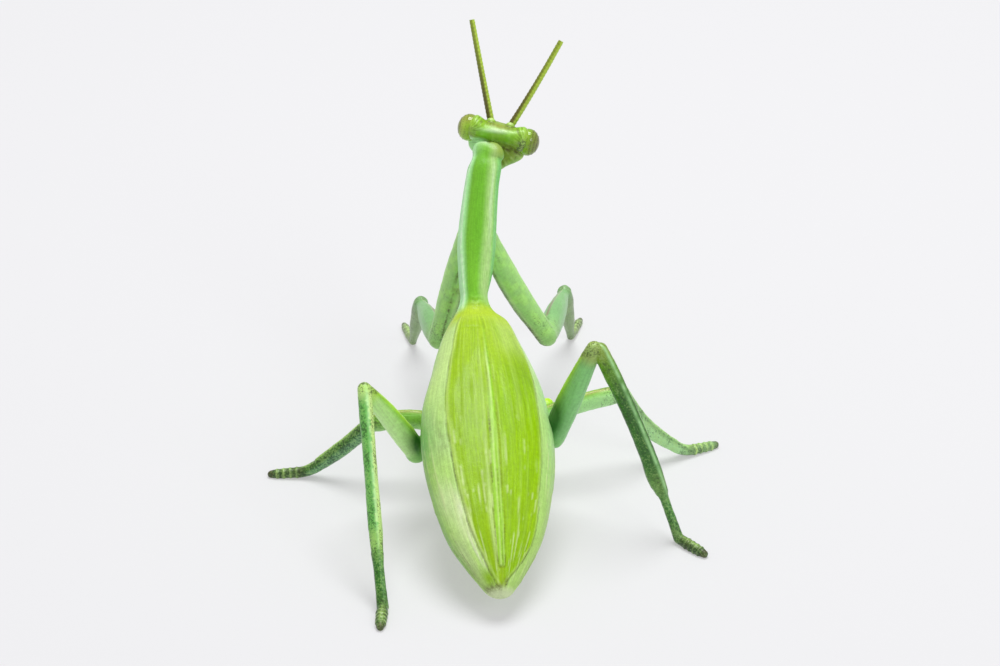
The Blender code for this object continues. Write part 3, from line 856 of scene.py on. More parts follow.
def front_share(trunk):
    """0 at the waist and 1 at the collar of the prothorax."""
    return (trunk.grid_s - trunk.waist) / (trunk.collar - trunk.waist)


def front_relief(trunk):
    """Rims along both sides of the prothorax, ripples behind it and a rounded collar before it."""
    f, a = front_share(trunk), trunk.grid_a
    on = step(f, 0.08, 0.1) * (1 - step(f, 0.93, 0.06))
    rims = 0.26 * (near(a, 40, 8) + near(a, 146, 9)) - 0.1 * (near(a, 56, 10) + near(a, 110, 12))
    under = 0.2 * near(a, 18, 10)
    ripple = 0.3 * noise(f * 80, a * 0.07, 45) * near(f, 0.1, 0.04) * near(a, 88, 26)
    collar = 0.2 * near(f, 0.96, 0.03) + 2.3 * near(f, 0.98, 0.12) * near(a, 160, 34)
    collar -= 0.3 * near(f, 0.86, 0.04) * near(a, 15, 40)
    narrow = 1.3 * near(f, 0.13, 0.11) * near(a, 180, 40) + 0.25 * near(f, 0.5, 0.26) * near(a, 180, 34)
    return on * (rims - under) + ripple + collar * (f > 0.5) - narrow


def trunk_paint(trunk, marks):
    """Base colour of each vertex of the trunk, with some painted shade and painted light."""
    s, a = trunk.grid_s, trunk.grid_a
    patch = noise(s * 0.11, a * 0.07, 31)
    colour = np.zeros((*s.shape, 3)) + FLANK
    colour = coated(
        colour,
        (FLANK_GREEN, np.clip(0.45 + 0.5 * patch, 0, 1) * step(s, 30, 40)),
        (FLANK_PALE, near(s, 76, 24) * 0.8),
        # The darker green by the leg roots on the left and right flanks is painted shade.
        (HIP_SHADE_GREEN, near(s, 48, 8) * np.maximum(near(a, 0, 30), near(a, 360, 30))),
        # The paler mint on the right flank is painted light.
        (MINT, 0.6 * near(s, 60, 20) * near(a, 166, 20)),
        (HIP_SHADE_GREEN, 0.4 * near(s, 54, 6) * near(a, 184, 18)),
        (TAIL_GREY, 0.5 * near(s, 26, 22) * near(a, 24, 26) * np.clip(0.5 + patch, 0, 1)),
        (BELLY, step(a, 195, 30) * (1 - step(a, 345, 30))),
    )
    wing = np.zeros((*s.shape, 3)) + WING
    wing = coated(
        wing,
        (WING_DEEP, step(a, 96, 6) * (1 - step(s, 70, 26)) * np.clip(0.8 + 0.4 * patch, 0, 1)),
        (WING_DEEP, 0.45 * near(a, 62, 16) * (1 - step(s, 44, 20))),
        (SHADE_LIME, 0.4 * near(a, 66, 20) * near(s, 52, 18)),
        (WING_FRONT, step(s, 74, 26)),
        (RIB_PALE, 0.4 * step(a, 108, 26) * step(s, 76, 10)),
        (SHADE_LIME, 0.65 * near(s, 67, 6) * near(a, 130, 16)),
        (FLANK_PALE, 0.7 * near(a, 79 + 0.06 * s, 2.6) * near(s, 22, 18)),
        (SHADE_LIME, 0.4 * np.clip(noise(s * 0.12, a * 0.09, 33), 0, 1)),
    )
    colour = blend(colour, wing, marks["covered"])
    inside_rib = step(marks["rib_left"], 0, 1) * step(marks["rib_right"], 0, 1)
    middle = (marks["rib_left"] - marks["rib_right"]) / 2 * marks["degree"]
    colour = blend(colour, RIB_GREEN, 0.7 * marks["rib"] * inside_rib)
    # The pale strips along the rib's raised ridge are a painted highlight.
    strips = near(middle, -0.25, 0.25) + 0.7 * near(middle, 0.8, 0.25) * (1 - step(s, 50, 20))
    colour = blend(colour, RIB_PALE, 0.6 * marks["rib"] * inside_rib * strips)
    bead = marks["wings"] * near(marks["left"] * marks["degree"], 0.6, 0.35)
    bead += 0.5 * marks["wings"] * near(marks["right"] * marks["degree"], 0.5, 0.35)
    colour = blend(colour, RIB_PALE, 0.5 * bead)
    lobe = near(marks["left"], -5, 4.5) * step(s, 7, 3) * (1 - step(s, 27, 10))
    colour = coated(
        colour,
        (TAIL_GREY, lobe * np.clip(0.75 + noise(s * 0.2, a * 0.5, 34), 0, 1)),
        (TIP_LIME, near(s, 4.2, 2.2) * near(a, 52, 22)),
        (TAIL_GREY, (1 - step(s, 1.8, 2.0)) * 0.8),
        (RIM_GREEN, 0.6 * np.maximum(near(a, 0, 14), near(a, 352, 16)) * step(s, 8, 10)),
        (WAIST_YELLOW, step(s, 89, 7)),
    )
    return blend(colour, front_paint(trunk), step(s, trunk.waist + 3.0, 6))


def front_paint(trunk):
    """Prothorax colour: leaf green between a mint wall and a broad pale band, both painted highlights."""
    f, a = front_share(trunk), trunk.grid_a
    drift = noise(f * 6, a * 0.05, 41)
    a = a + 2.5 * noise(f * 9, a * 0.04, 43)
    colour = np.zeros((*f.shape, 3)) + LEAF
    colour = coated(
        colour,
        (LEAF_DEEP, 0.7 * near(a, 92, 20) + 0.2 * drift),
        (LEAF_LIGHT, 0.9 * near(f, 0.22, 0.2) * near(a, 88, 26)),
        (WAIST_YELLOW, 1 - step(f, 0.08, 0.14)),
    )
    # Painted highlights: a broad pale band with a white line in it, the mint right wall with a lit green
    # edge, and the mint left wall.
    highlight_band = step(a, 118 - 12 * near(f, 0.18, 0.2), 30) * (1 - step(a, 145, 12)) * step(f, 0.1, 0.12)
    colour = coated(
        colour,
        (HIGHLIGHT_BAND, highlight_band * np.clip(0.85 + 0.3 * noise(f * 30, a * 0.5, 44), 0, 1)),
        (WHITE_HIGHLIGHT, 0.4 * near(a, 134, 6) * near(f, 0.7, 0.22)),
        (MINT, 0.7 * step(a, 146, 14) * step(f, 0.04, 0.1)),
        (RIM_LIT_GREEN, 0.9 * near(a, 164, 16) * step(f, 0.1, 0.1)),
        (MINT, (1 - step(a, 54, 26)) * step(f, 0.02, 0.08)),
    )
    # A white painted highlight runs along the left ridge, and another one round the rim of the collar.
    line = near(a, 43 + 3 * np.sin(f * 7), 4.5) * step(f, 0.04, 0.05) * (1 - step(f, 0.95, 0.1))
    colour = coated(
        colour,
        (WHITE_HIGHLIGHT, line * np.clip(0.55 + 0.4 * noise(f * 60, a * 0.3, 42), 0, 1)),
        (MINT, step(a, 200, 20) * (1 - step(a, 340, 20)) * step(f, 0.05, 0.1)),
        (LEAF_LIGHT, 0.6 * near(f, 0.98, 0.07) * near(a, 90, 40)),
        (MINT, 0.35 * near(f, 0.98, 0.06) * near(a, 60, 30)),
        (WHITE_HIGHLIGHT, 0.6 * near(f, 1.0, 0.014) * near(a, 90, 46)),
    )
    return blend(colour, COLLAR_OLIVE, 0.95 * near(f, 0.99, 0.07) * near(a, 152, 22))


def trunk_wash(trunk, marks, mesh):
    """Amount of dark wash on each vertex of the trunk: in its hollows and along its drawn lines."""
    s, a, degree = trunk.grid_s, trunk.grid_a, marks["degree"]
    waver = np.clip(0.62 + 0.6 * noise(s * 0.35, a * 0.02, 51), 0, 1)
    rib_left, rib_right = marks["rib_left"] * degree, marks["rib_right"] * degree
    lines = 0.6 * marks["rib"] * near(rib_right, -0.05, 0.24) * waver
    lines += 0.7 * marks["rib"] * near(rib_left, -0.1, 0.26) * (1 - step(s, 62, 16)) * waver
    middle = (rib_left - rib_right) / 2
    lines += 0.6 * marks["rib"] * near(middle, 0.35, 0.18) * (1 - step(s, 40, 16)) * waver
    left_edge = 0.3 + 0.5 * near(s, 36, 12) + 0.2 * near(s, 62, 12) + 0.5 * (1 - step(s, 8, 6))
    left_line = near(marks["left"] * degree, -0.2, 0.24)
    lines += left_edge * marks["wings"] * left_line * waver * (1 - step(s, 76, 10))
    right_edge = 0.25 + 0.5 * near(s, 66, 8) + 0.5 * (1 - step(s, 16, 12))
    right_line = near(marks["right"] * degree, -0.2, 0.24)
    lines += right_edge * marks["wings"] * right_line * waver * (1 - step(s, 74, 8))
    end = near(s, RIB_END - 0.2, 0.4) * step(a, 83, 3) * (1 - step(a, 98, 3))
    lines += 0.7 * end * waver
    tail_under = near(s, 2.0, 0.8) * step(a, 8, 14) * (1 - step(a, 92, 12))
    lines += 0.8 * tail_under + 0.6 * near(s, 3.2, 1.4) * near(a, 104, 9) * waver
    lines += 0.3 * near(s, 6, 4.5) * near(a, 2, 22)
    # Two darker patches on the left side: one by the hind-leg root, one on the wing's edge near the tail.
    dark_patches = near(s, 46, 9) * near(a, 40, 9) + 0.6 * near(s, 20, 7) * near(a, 52, 5)
    lines += 0.4 * dark_patches * np.clip(0.5 + noise(s * 0.6, a * 0.4, 52), 0, 1)
    cavity = hollows(mesh, 8).reshape(-1)[: s.size].reshape(s.shape)
    return np.clip(lines + step(cavity, 0.06, 0.08) * 0.25, 0, 1), cavity


def make_trunk(props):
    """The hind body, wing covers and prothorax as one painted skin."""
    trunk = Trunk()
    marks = trunk_marks(trunk)
    mesh = trunk.mesh()
    count = trunk.grid_s.size
    normals = normals_of(mesh)[:count].reshape(*trunk.grid_s.shape, 3)
    trunk.points += normals * trunk_relief(trunk, marks, props)[..., None]
    rightward = -np.cos(np.radians(trunk.grid_a))
    tilt = COLLAR_TILT * step(front_share(trunk), 0.93, 0.14) * step(rightward, 0.5, 1.2)
    trunk.points -= trunk.ahead[:, None] * tilt[..., None]
    set_points(mesh, trunk.points.reshape(-1, 3))
    wash, cavity = trunk_wash(trunk, marks, mesh)
    dry = step(-cavity, 0.04, 0.05) * 0.14 + 0.85 * streaks(trunk, marks)
    scuffs = step(noise(trunk.grid_s * 0.35, trunk.grid_a * 0.5, 26), 0.05, 0.5)
    dry += 0.75 * scuffs * near(trunk.grid_s, 23, 11) * near(trunk.grid_a, 44, 12)
    flow = np.stack([trunk.grid_s, trunk.grid_a * 0.33, 0 * trunk.grid_s], -1)
    colour = trunk_paint(trunk, marks).reshape(-1, 3)
    stipple = 0.2 * marks["hind"] * near(trunk.grid_s, 12, 12) * (1 - marks["covered"])
    paint_on(mesh, colour, wash.ravel(), dry.ravel(), stipple.ravel(), flow.reshape(-1, 3))
    material = painted("trunk_paint", props)
    nodes = ("abdomen", "thorax", "wing_left", "wing_right", "prothorax", "neck")
    piece("trunk_skin", mesh, material, nodes)


# Fusing closed forms into one skin

def direction_rings(centres, side, top, across, rise, columns):
    """Rings of points round a line of centres, from half sizes across and rise."""
    angle = turns(columns)
    x = np.reshape(across, (-1, 1)) * np.cos(angle)
    y = np.reshape(rise, (-1, 1)) * np.sin(angle)
    return centres[:, None] + side * x[..., None] + top * y[..., None]


def ball(centre, radii, axes=np.eye(3), rows=15, columns=24):
    """Rings of an egg-shaped form with its half sizes along three axes."""
    turn = np.linspace(0.04, math.pi - 0.04, rows)
    centres = np.asarray(centre) - np.cos(turn)[:, None] * radii[0] * axes[0]
    ring = np.sin(turn)
    return direction_rings(centres, axes[1], axes[2], ring * radii[1], ring * radii[2], columns)


def rounded(reach, size, first_turn, count):
    """Distances and sizes of rings along a limb, with rings added for a round end at each end."""
    bulge = np.linspace(first_turn, math.pi / 2, count)[:-1]
    before = reach[0] - size[0] * np.cos(bulge)
    after = reach[-1] + size[-1] * np.cos(bulge[::-1])
    sizes = [size[0] * np.sin(bulge), size, size[-1] * np.sin(bulge[::-1])]
    return np.concatenate([before, reach, after]), np.concatenate(sizes)


def limb_form(start, end, radii, columns=22):
    """Rings of a straight round limb with rounded ends, from its first radius to its last."""
    ahead = unit(end - start)
    side, top = cross_frame(ahead)
    length = np.linalg.norm(end - start)
    inner = np.linspace(0, 1, 16)
    reach, size = rounded(inner * length, follow((0, 1), radii, inner), 0.06, 5)
    return direction_rings(start + ahead * reach[:, None], side, top, size, size, columns)


def bent_form(start, corner, end, first, last, columns=28):
    """Rings of a limb that curves past a corner."""
    t = np.linspace(0, 1, 16)[:, None]
    centres = start * (1 - t) ** 2 + corner * 2 * t * (1 - t) + end * t ** 2
    sides, tops = cross_frame(unit(np.gradient(centres, axis=0)))
    size = first + (last - first) * t[:, 0]
    return direction_rings(centres, sides[:, None], tops[:, None], size, size, columns)


class Clay:
    """Closed forms that are fused into one skin."""

    def __init__(self):
        self.points, self.faces, self.count = [], [], 0

    def add(self, rings):
        self.faces += tube_faces(*rings.shape[:2], self.count)
        self.points.append(rings.reshape(-1, 3))
        self.count += len(self.points[-1])

    def add_mesh(self, mesh):
        self.faces += [[index + self.count for index in face.vertices] for face in mesh.polygons]
        self.points.append(positions(mesh))
        self.count += len(mesh.vertices)

    def fuse(self, name, voxel, times):
        """One smooth closed mesh of everything that was added."""
        carrier = linked("clay", closed_mesh("clay", np.concatenate(self.points) * MM, self.faces))
        remesh = carrier.modifiers.new("fuse", "REMESH")
        remesh.mode = "VOXEL"
        remesh.voxel_size = voxel * MM
        mesh = plain_mesh(carrier)
        mesh.name = name
        points = positions(mesh)
        edges = edges_of(mesh)
        for _ in range(times):
            points = relaxed(points, edges, 1, 0.5)
            points = relaxed(points, edges, 1, -0.46)
        set_points(mesh, points)
        return mesh


# Head

class HeadPlace:
    """The head's own directions: left, back and up, from the middle between the eyes."""

    def __init__(self):
        centres = {side: self.middle(f"eye_{side}") for side in SIDES}
        self.origin = (centres["left"] + centres["right"]) / 2
        self.left = unit(centres["left"] - centres["right"])
        up = self.origin - self.middle("mouthparts")
        self.up = unit(up - self.left * (up @ self.left))
        self.back = np.cross(self.up, self.left)
        self.axes = np.array([self.left, self.back, self.up])
        self.eye_offset = np.linalg.norm(centres["left"] - centres["right"]) / 2

    @staticmethod
    def middle(node):
        low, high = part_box(node)
        return np.array((low + high) / 2) / MM

    def out(self, local):
        """Places in the figure's directions from places in the head's."""
        return self.origin + np.asarray(local) @ self.axes

    def into(self, points):
        return (points - self.origin) @ self.axes.T


def head_clay(head):
    """The crossbar between the eyes, the face that narrows to the mouth, and the small forms on it."""
    clay = Clay()
    rows = np.array(HEAD_ROWS)
    heights = np.linspace(rows[0, 0], rows[-1, 0], 40)
    width, front, back = follow(-rows[:, 0], rows[:, 1:], -heights).T
    angle = turns(40)
    depth = np.where(np.sin(angle) > 0, back[:, None], front[:, None]) * np.sin(angle)
    lean = FACE_LEAN * step(-heights, 2.5, 3)[:, None]
    rings = np.stack([width[:, None] * np.cos(angle) + lean, depth, heights[:, None] + 0 * depth], -1)
    clay.add(head.out(rings))
    reach = np.linspace(-head.eye_offset - 0.4, head.eye_offset + 0.4, 24)
    share = np.abs(reach) / head.eye_offset
    bar = np.stack([reach, BAR_AT[0] + 0 * reach, BAR_AT[1] + 0 * reach], -1)
    height = BAR_HEIGHT[0] + (BAR_HEIGHT[1] - BAR_HEIGHT[0]) * share ** 2
    thick = BAR_DEPTH[0] + (BAR_DEPTH[1] - BAR_DEPTH[0]) * share ** 2
    height += 0.35 * near(share, 0.86, 0.16) - 0.3 * near(share, 0.5, 0.2)
    cap = np.sqrt(1 - np.clip(share - 0.72, 0, 0.33) ** 2 / 0.14)
    centres = head.out(bar)
    clay.add(direction_rings(centres, head.back, head.up, thick * cap, height * cap, 30))
    for sign in SIDES.values():
        socket = head.out((sign * SOCKET_AT[0], SOCKET_AT[1], SOCKET_AT[2]))
        clay.add(ball(socket, (1.4, 1.4, 1.2), head.axes))
        palp = head.out([(sign * 1.4, -1.0, -13.2), (sign * 2.0, -1.6, -15.2)])
        clay.add(limb_form(*palp, PALP_RADII))
        clay.add(ball(head.out((sign * 2.6, -3.4, -4.5)), (1.6, 0.9, 2.6), head.axes))
    clay.add(ball(head.out((0, -3.0, -7.6)), (2.6, 1.2, 2.2), head.axes))
    return clay


def make_head(props):
    """The head as one painted skin."""
    head = HeadPlace()
    mesh = head_clay(head).fuse("head_skin", HEAD_VOXEL, 5)
    points = positions(mesh)
    x, y, z = head.into(points).T
    edges = edges_of(mesh)
    relief = -0.16 * near(z, -3.1 - 0.02 * x * x, 0.4) * step(y, 0.6, 1.2)
    relief += 0.1 * noise(np.degrees(np.arctan2(x, -z - 1)) * 0.22, z * 0.25, 61) * step(y, 1, 1) * (z < -2.6)
    relief += 0.12 * noise(x * 0.9, z * 0.9, 62)
    turn = np.degrees(np.arctan2(z, np.abs(x) - head.eye_offset))
    rays = noise(turn * 0.16, np.abs(x) * 0.1, 63) * near(np.abs(x), head.eye_offset - 2.4, 1.6)
    relief += 0.08 * rays * step(y, -1, 2)
    ridge = near(z, 1.9 - 0.12 * x, 0.6) * near(x, 0.6, 4.0) * step(y, 1, 1)
    relief += 0.22 * ridge
    points = points + normals_of(mesh) * relief[:, None]
    set_points(mesh, relaxed(points, edges, 1, 0.3))
    colour = np.zeros((len(points), 3)) + HEAD_GREEN
    colour = coated(
        colour,
        (HEAD_LIME, 0.75 * step(z, 1.6, 2.4)),
        # The dark olive low on the back of the head is painted shade in the recess above the collar.
        (HEAD_RECESS_SHADE, step(z, -1.0, -2.4) * step(y, 0.8, 1.5)),
    )
    rough = step(-x, 4.0, 3.0) * (1 - step(z, 1.0, 2.5)) * step(y, 0, 1.5)
    colour = coated(
        colour,
        (COLLAR_OLIVE, 0.5 * rough),
        # A white painted highlight along the ridge between the antennae.
        (WHITE_HIGHLIGHT, 0.6 * ridge),
        (COLLAR_OLIVE, np.clip(0.35 * noise(x * 0.5, z * 0.4, 64), 0, 1) * step(y, 0, 1)),
        (CHEEK, step(z, -3.4, -1.6) * (1 - step(y, 1.2, 1.6))),
        (HEAD_GREEN, 0.6 * step(z, -9.5, -3.0)),
        (BROW_BROWN, 0.7 * near(z, 3.1, 0.6) * near(x, 0, 3.4)),
        (EYE_OLIVE, 0.5 * step(np.abs(x), head.eye_offset - 1.0, 2.0)),
        # Pale paint on the tops of the antenna sockets is a painted highlight.
        (SOCKET_HIGHLIGHT, 0.5 * near(z, 4.4, 0.5) * near(np.abs(x), SOCKET_AT[0], 1.1)),
    )
    cavity = hollows(mesh, 10)
    # Mint on the left cheek, between the left eye and the collar, is painted light.
    lit_cheek = step(x, 3.0, 3.0) * (1 - step(z, -1.8, 1.4))
    colour = blend(colour, MINT, 0.7 * lit_cheek)
    # The wash low behind the crossbar is painted shade in the recess there, on top of the wash in hollows.
    wash = 0.75 * step(cavity, 0.05, 0.1) + 0.6 * near(z, -3.2, 0.7) * step(y, 0.6, 1.2) * (1 - lit_cheek)
    wash += 0.7 * near(np.abs(x), SOCKET_AT[0], 1.8) * near(z, 3.3, 0.6)
    wash += 0.6 * step(-rays, 0.25, 0.3)
    wash += 0.5 * near(z, 2.6, 0.5) * step(-y, 0, 1)
    dry = 0.6 * step(-cavity, 0.06, 0.1)
    flow = np.stack([z, x, y], -1)
    stipple = 0.55 * step(np.abs(x), head.eye_offset - 2.4, 2.0) * (z > -3) + 0.5 * rough
    paint_on(mesh, colour, wash, dry, stipple, flow)
    material = painted("head_paint", props)
    piece("head_skin", mesh, material, ("head", "mouthparts"))


# Eyes

def dotted_rings():
    """A node tree that sets rows of beads round an egg-shaped cap whose long axis is +X."""
    net, given, sockets = geometry_tree("Dotted rings", (
        ("Rows", WHOLE), ("Beads", WHOLE), ("Bead size", FLOAT),
        ("Radii", VECTOR), ("First turn", FLOAT), ("Last turn", FLOAT),
    ))
    count = net.math("MULTIPLY", given["Rows"], given["Beads"])
    points = net.add("GeometryNodePoints", {"Count": count, "Radius": 0.001}).outputs["Points"]
    index = net.add("GeometryNodeInputIndex").outputs[0]
    row = net.math("FLOOR", net.math("DIVIDE", index, given["Beads"]))
    place = net.math("MODULO", index, given["Beads"])
    shift = net.math("MULTIPLY", net.math("MODULO", row, 2.0), 0.5)
    round_share = net.math("DIVIDE", net.math("ADD", place, shift), given["Beads"])
    round_turn = net.product(round_share, math.tau)
    share = net.math("DIVIDE", row, net.math("SUBTRACT", given["Rows"], 1.0))
    span = net.math("SUBTRACT", given["Last turn"], given["First turn"])
    turn = net.math("ADD", given["First turn"], net.math("MULTIPLY", share, span))
    radius = net.math("SINE", turn)
    spot = net.add("ShaderNodeCombineXYZ", {
        "X": net.math("COSINE", turn),
        "Y": net.math("MULTIPLY", radius, net.math("COSINE", round_turn)),
        "Z": net.math("MULTIPLY", radius, net.math("SINE", round_turn)),
    }).outputs[0]
    scaled = net.add("ShaderNodeVectorMath", {0: spot, 1: given["Radii"]}, operation="MULTIPLY").outputs[0]
    placed = net.add("GeometryNodeSetPosition", {"Geometry": points, "Position": scaled}).outputs[0]
    bead = net.add("GeometryNodeMeshIcoSphere", {"Radius": given["Bead size"], "Subdivisions": 1})
    copies = net.add("GeometryNodeInstanceOnPoints", {"Points": placed, "Instance": bead.outputs["Mesh"]})
    end_tree(net, given, copies.outputs[0])
    return net.tree, sockets


def geometry_tree(name, inputs):
    """A Geometry Nodes tree with named inputs: its net, what it is given and its socket identifiers."""
    tree = bpy.data.node_groups.new(name, "GeometryNodeTree")
    sockets = {}
    for label, kind in (*inputs, ("Material", "NodeSocketMaterial")):
        sockets[label] = tree.interface.new_socket(label, in_out="INPUT", socket_type=kind).identifier
    tree.interface.new_socket("Geometry", in_out="OUTPUT", socket_type="NodeSocketGeometry")
    net = Net(tree)
    return net, net.add("NodeGroupInput").outputs, sockets


def end_tree(net, given, geometry):
    """Ends a Geometry Nodes tree: real geometry with the given material."""
    real = net.add("GeometryNodeRealizeInstances", {0: geometry}).outputs[0]
    done = net.add("GeometryNodeSetMaterial", {"Geometry": real, "Material": given["Material"]}).outputs[0]
    net.add("NodeGroupOutput", {0: done})


def from_nodes(name, tree, sockets, values):
    """The plain mesh that a node tree makes with the given input values."""
    carrier = linked(name, bpy.data.meshes.new(name))
    modifier = carrier.modifiers.new("build", "NODES")
    modifier.node_group = tree
    for label, value in values.items():
        modifier[sockets[label]] = value
    mesh = evaluated_mesh(carrier)
    carrier.modifiers.remove(modifier)
    bpy.data.objects.remove(carrier)
    return mesh


def eye_material(props):
    """Gloss olive eye, green towards the head, with stippling and fine facets."""
    material, net, shader = new_material("eye_gloss")
    dots = net.shared("Stippled speckle", speckle_group, {"Density": 0.5, "Size": 2200.0})
    light = net.mix(net.product(dots["Light"], 0.5), net.attribute("paint", "Color"), EYE_SPECK)
    washed = net.shared("Dark wash", wash_group, {
        "Colour": net.mix(net.product(dots["Dark"], 0.35), light, EYE_DARK),
        "Wash": (*props.wash_colour, 1), "Strength": 0.9, "Amount": net.attribute("wash"),
    })
    place = net.add("ShaderNodeTexCoord").outputs["Object"]
    facets = net.add("ShaderNodeTexVoronoi", {"Vector": place, "Scale": 2600.0}).outputs["Distance"]
    bump = net.add("ShaderNodeBump", {"Height": facets, "Distance": 0.02 * MM, "Strength": 0.6})
    net.fill(shader, {
        "Base Color": washed["Colour"], "Normal": bump.outputs["Normal"], "Roughness": 0.14,
        "Coat Weight": 0.45, "Coat Roughness": 0.04, "Specular IOR Level": 0.3,
    })
    return material


def make_eyes(props):
    """Each eye as a gloss bulb with rows of tiny beads round its cap."""
    head = HeadPlace()
    material = eye_material(props)
    beads, sockets = dotted_rings()
    for side, sign in SIDES.items():
        solid = Solid(f"eye_{side}")
        local = head.into(solid.points)
        centre = (local.min(0) + local.max(0)) / 2
        radii = (local.max(0) - local.min(0)) / 2
        clay = Clay()
        clay.add(ball(np.zeros(3), radii, np.eye(3), 48, 64))
        bulb = closed_mesh("bulb", clay.points[0], clay.faces)
        rings = from_nodes("rings", beads, sockets, {
            "Rows": props.eye_rows, "Beads": EYE_BEADS, "Bead size": BEAD_SIZE, "Radii": tuple(radii),
            "First turn": BEAD_TURNS[0], "Last turn": BEAD_TURNS[1], "Material": material,
        })
        bm = bmesh.new()
        bm.from_mesh(bulb)
        base = len(bm.verts)
        bm.from_mesh(rings)
        mesh = bpy.data.meshes.new(f"eye_{side}_bulb")
        bm.to_mesh(mesh)
        bm.free()
        points = read(mesh.vertices, "co", 3)
        outward = points[:, 0] / radii[0]
        points[:, 0] *= sign
        bead = np.arange(len(points)) >= base
        colour = blend(np.zeros((len(points), 3)) + EYE_TINT[side], EYE_BROWN, 0.8 * step(outward, 0.7, 0.4))
        inner = 0.5 if side == "left" else 0.15
        colour = coated(
            colour,
            (HEAD_LIME, 0.85 * (1 - step(outward, inner, 0.8))),
            (EYE_DARK, bead * 0.85),
        )
        crown = step(points[:, 2] / radii[2], 0.5, 0.5) * (sign > 0)
        colour = blend(colour, BROW_BROWN, 0.6 * crown * (1 - bead))
        wash = near(outward, 0.28, 0.06) + near(outward, 0.55, 0.06) + near(outward, 0.8, 0.05)
        wash *= 0.1 if sign > 0 else 0.6
        if sign < 0:
            rework(mesh, turn_over)
        set_points(mesh, head.out(points + centre) + EYE_SHIFT[side])
        paint_on(mesh, colour, wash, wash * 0, wash * 0, points)
        piece(f"eye_{side}_bulb", mesh, material, (f"eye_{side}",))


# Antennae

def antenna_tree():
    """A node tree that sweeps a round section along a bowed line, with faint rings along it."""
    net, given, sockets = geometry_tree("Antenna", (
        ("Start", VECTOR), ("Middle", VECTOR), ("End", VECTOR),
        ("Root radius", FLOAT), ("Tip radius", FLOAT), ("Rings", WHOLE),
    ))
    curve = net.add("GeometryNodeCurveQuadraticBezier", {
        "Resolution": 4, "Start": given["Start"], "Middle": given["Middle"], "End": given["End"],
    })
    count = net.math("MULTIPLY", given["Rings"], 6.0)
    path = net.add("GeometryNodeResampleCurve", {"Curve": curve.outputs[0], "Count": count}).outputs[0]
    share = net.add("GeometryNodeSplineParameter").outputs["Factor"]
    taper = net.between(share, given["Root radius"], given["Tip radius"])
    wave = net.math("SINE", net.product(share, given["Rings"], math.tau))
    ringed = net.product(taper, net.ramp(wave, -1.0, 1.0, 0.96, 1.04))
    section = net.add("GeometryNodeCurvePrimitiveCircle", {"Resolution": 20, "Radius": 1.0}).outputs["Curve"]
    swept = net.add("GeometryNodeCurveToMesh", {
        "Curve": path, "Profile Curve": section, "Scale": ringed, "Fill Caps": True,
    })
    end_tree(net, given, swept.outputs[0])
    return net.tree, sockets


def make_antennae(props):
    """Both antennae, swept from their roots in the head to their tips."""
    head = HeadPlace()
    material = painted("feeler_paint", props)
    tree, sockets = antenna_tree()
    for side in SIDES:
        solid = Solid(f"antenna_{side}")
        root, tip = solid.axis(head.up)
        centres, sizes = measure(solid, root, tip, (0.12, 0.5, 0.94), 0.5, 0.0)
        tip = tip + np.array(TIP_SHIFT[side])
        middle = centres[1] * 2 - (root + tip) / 2 + np.array(BOW_SHIFT[side])
        mesh = from_nodes("antenna", tree, sockets, {
            "Start": root * MM, "Middle": middle * MM, "End": tip * MM, "Rings": props.antenna_rings,
            "Root radius": sizes[0, 0] * FEELER_GIRTH * MM, "Tip radius": sizes[2, 0] * FEELER_GIRTH * MM,
            "Material": material,
        })
        rework(mesh, weld, face_out)
        points = positions(mesh)
        share = (points - root) @ unit(tip - root) / np.linalg.norm(tip - root)
        facing = (points - (root + (tip - root) * share[:, None])) @ head.left
        # Across each antenna the side towards the figure's right is painted lighter as painted light, and the
        # other side brown, brown paint and painted shade in one.
        colour = blend(np.zeros((len(points), 3)) + FEELER, FEELER_LIGHT, 0.7 * step(-facing, 0.1, 0.5))
        colour = blend(colour, FEELER_LIGHT, 0.35 * step(share, 0.6, 0.5))
        brown = step(facing, -0.1, 0.5) * (1 - 0.6 * step(share, 0.5, 0.9))
        colour = blend(colour, FEELER_BROWN, 0.9 * brown)
        wash = 0.5 * near(facing, 0.3, 0.3) * (1 - step(share, 0.5, 0.5))
        flow = np.stack([share * 30, facing * 2, 0 * share], -1)
        paint_on(mesh, colour, wash, 0 * wash, 0 * wash, flow)
        piece(f"antenna_{side}_rod", mesh, material, (f"antenna_{side}",))


# Legs

def crossing(first, second):
    """The point midway between two lines where they pass closest."""
    u, v = unit(first[1] - first[0]), unit(second[1] - second[0])
    gap = second[0] - first[0]
    square = 1 - (u @ v) ** 2
    on_first = (gap @ u - (gap @ v) * (u @ v)) / square
    on_second = ((gap @ u) * (u @ v) - gap @ v) / square
    return (first[0] + u * on_first + second[0] + v * on_second) / 2


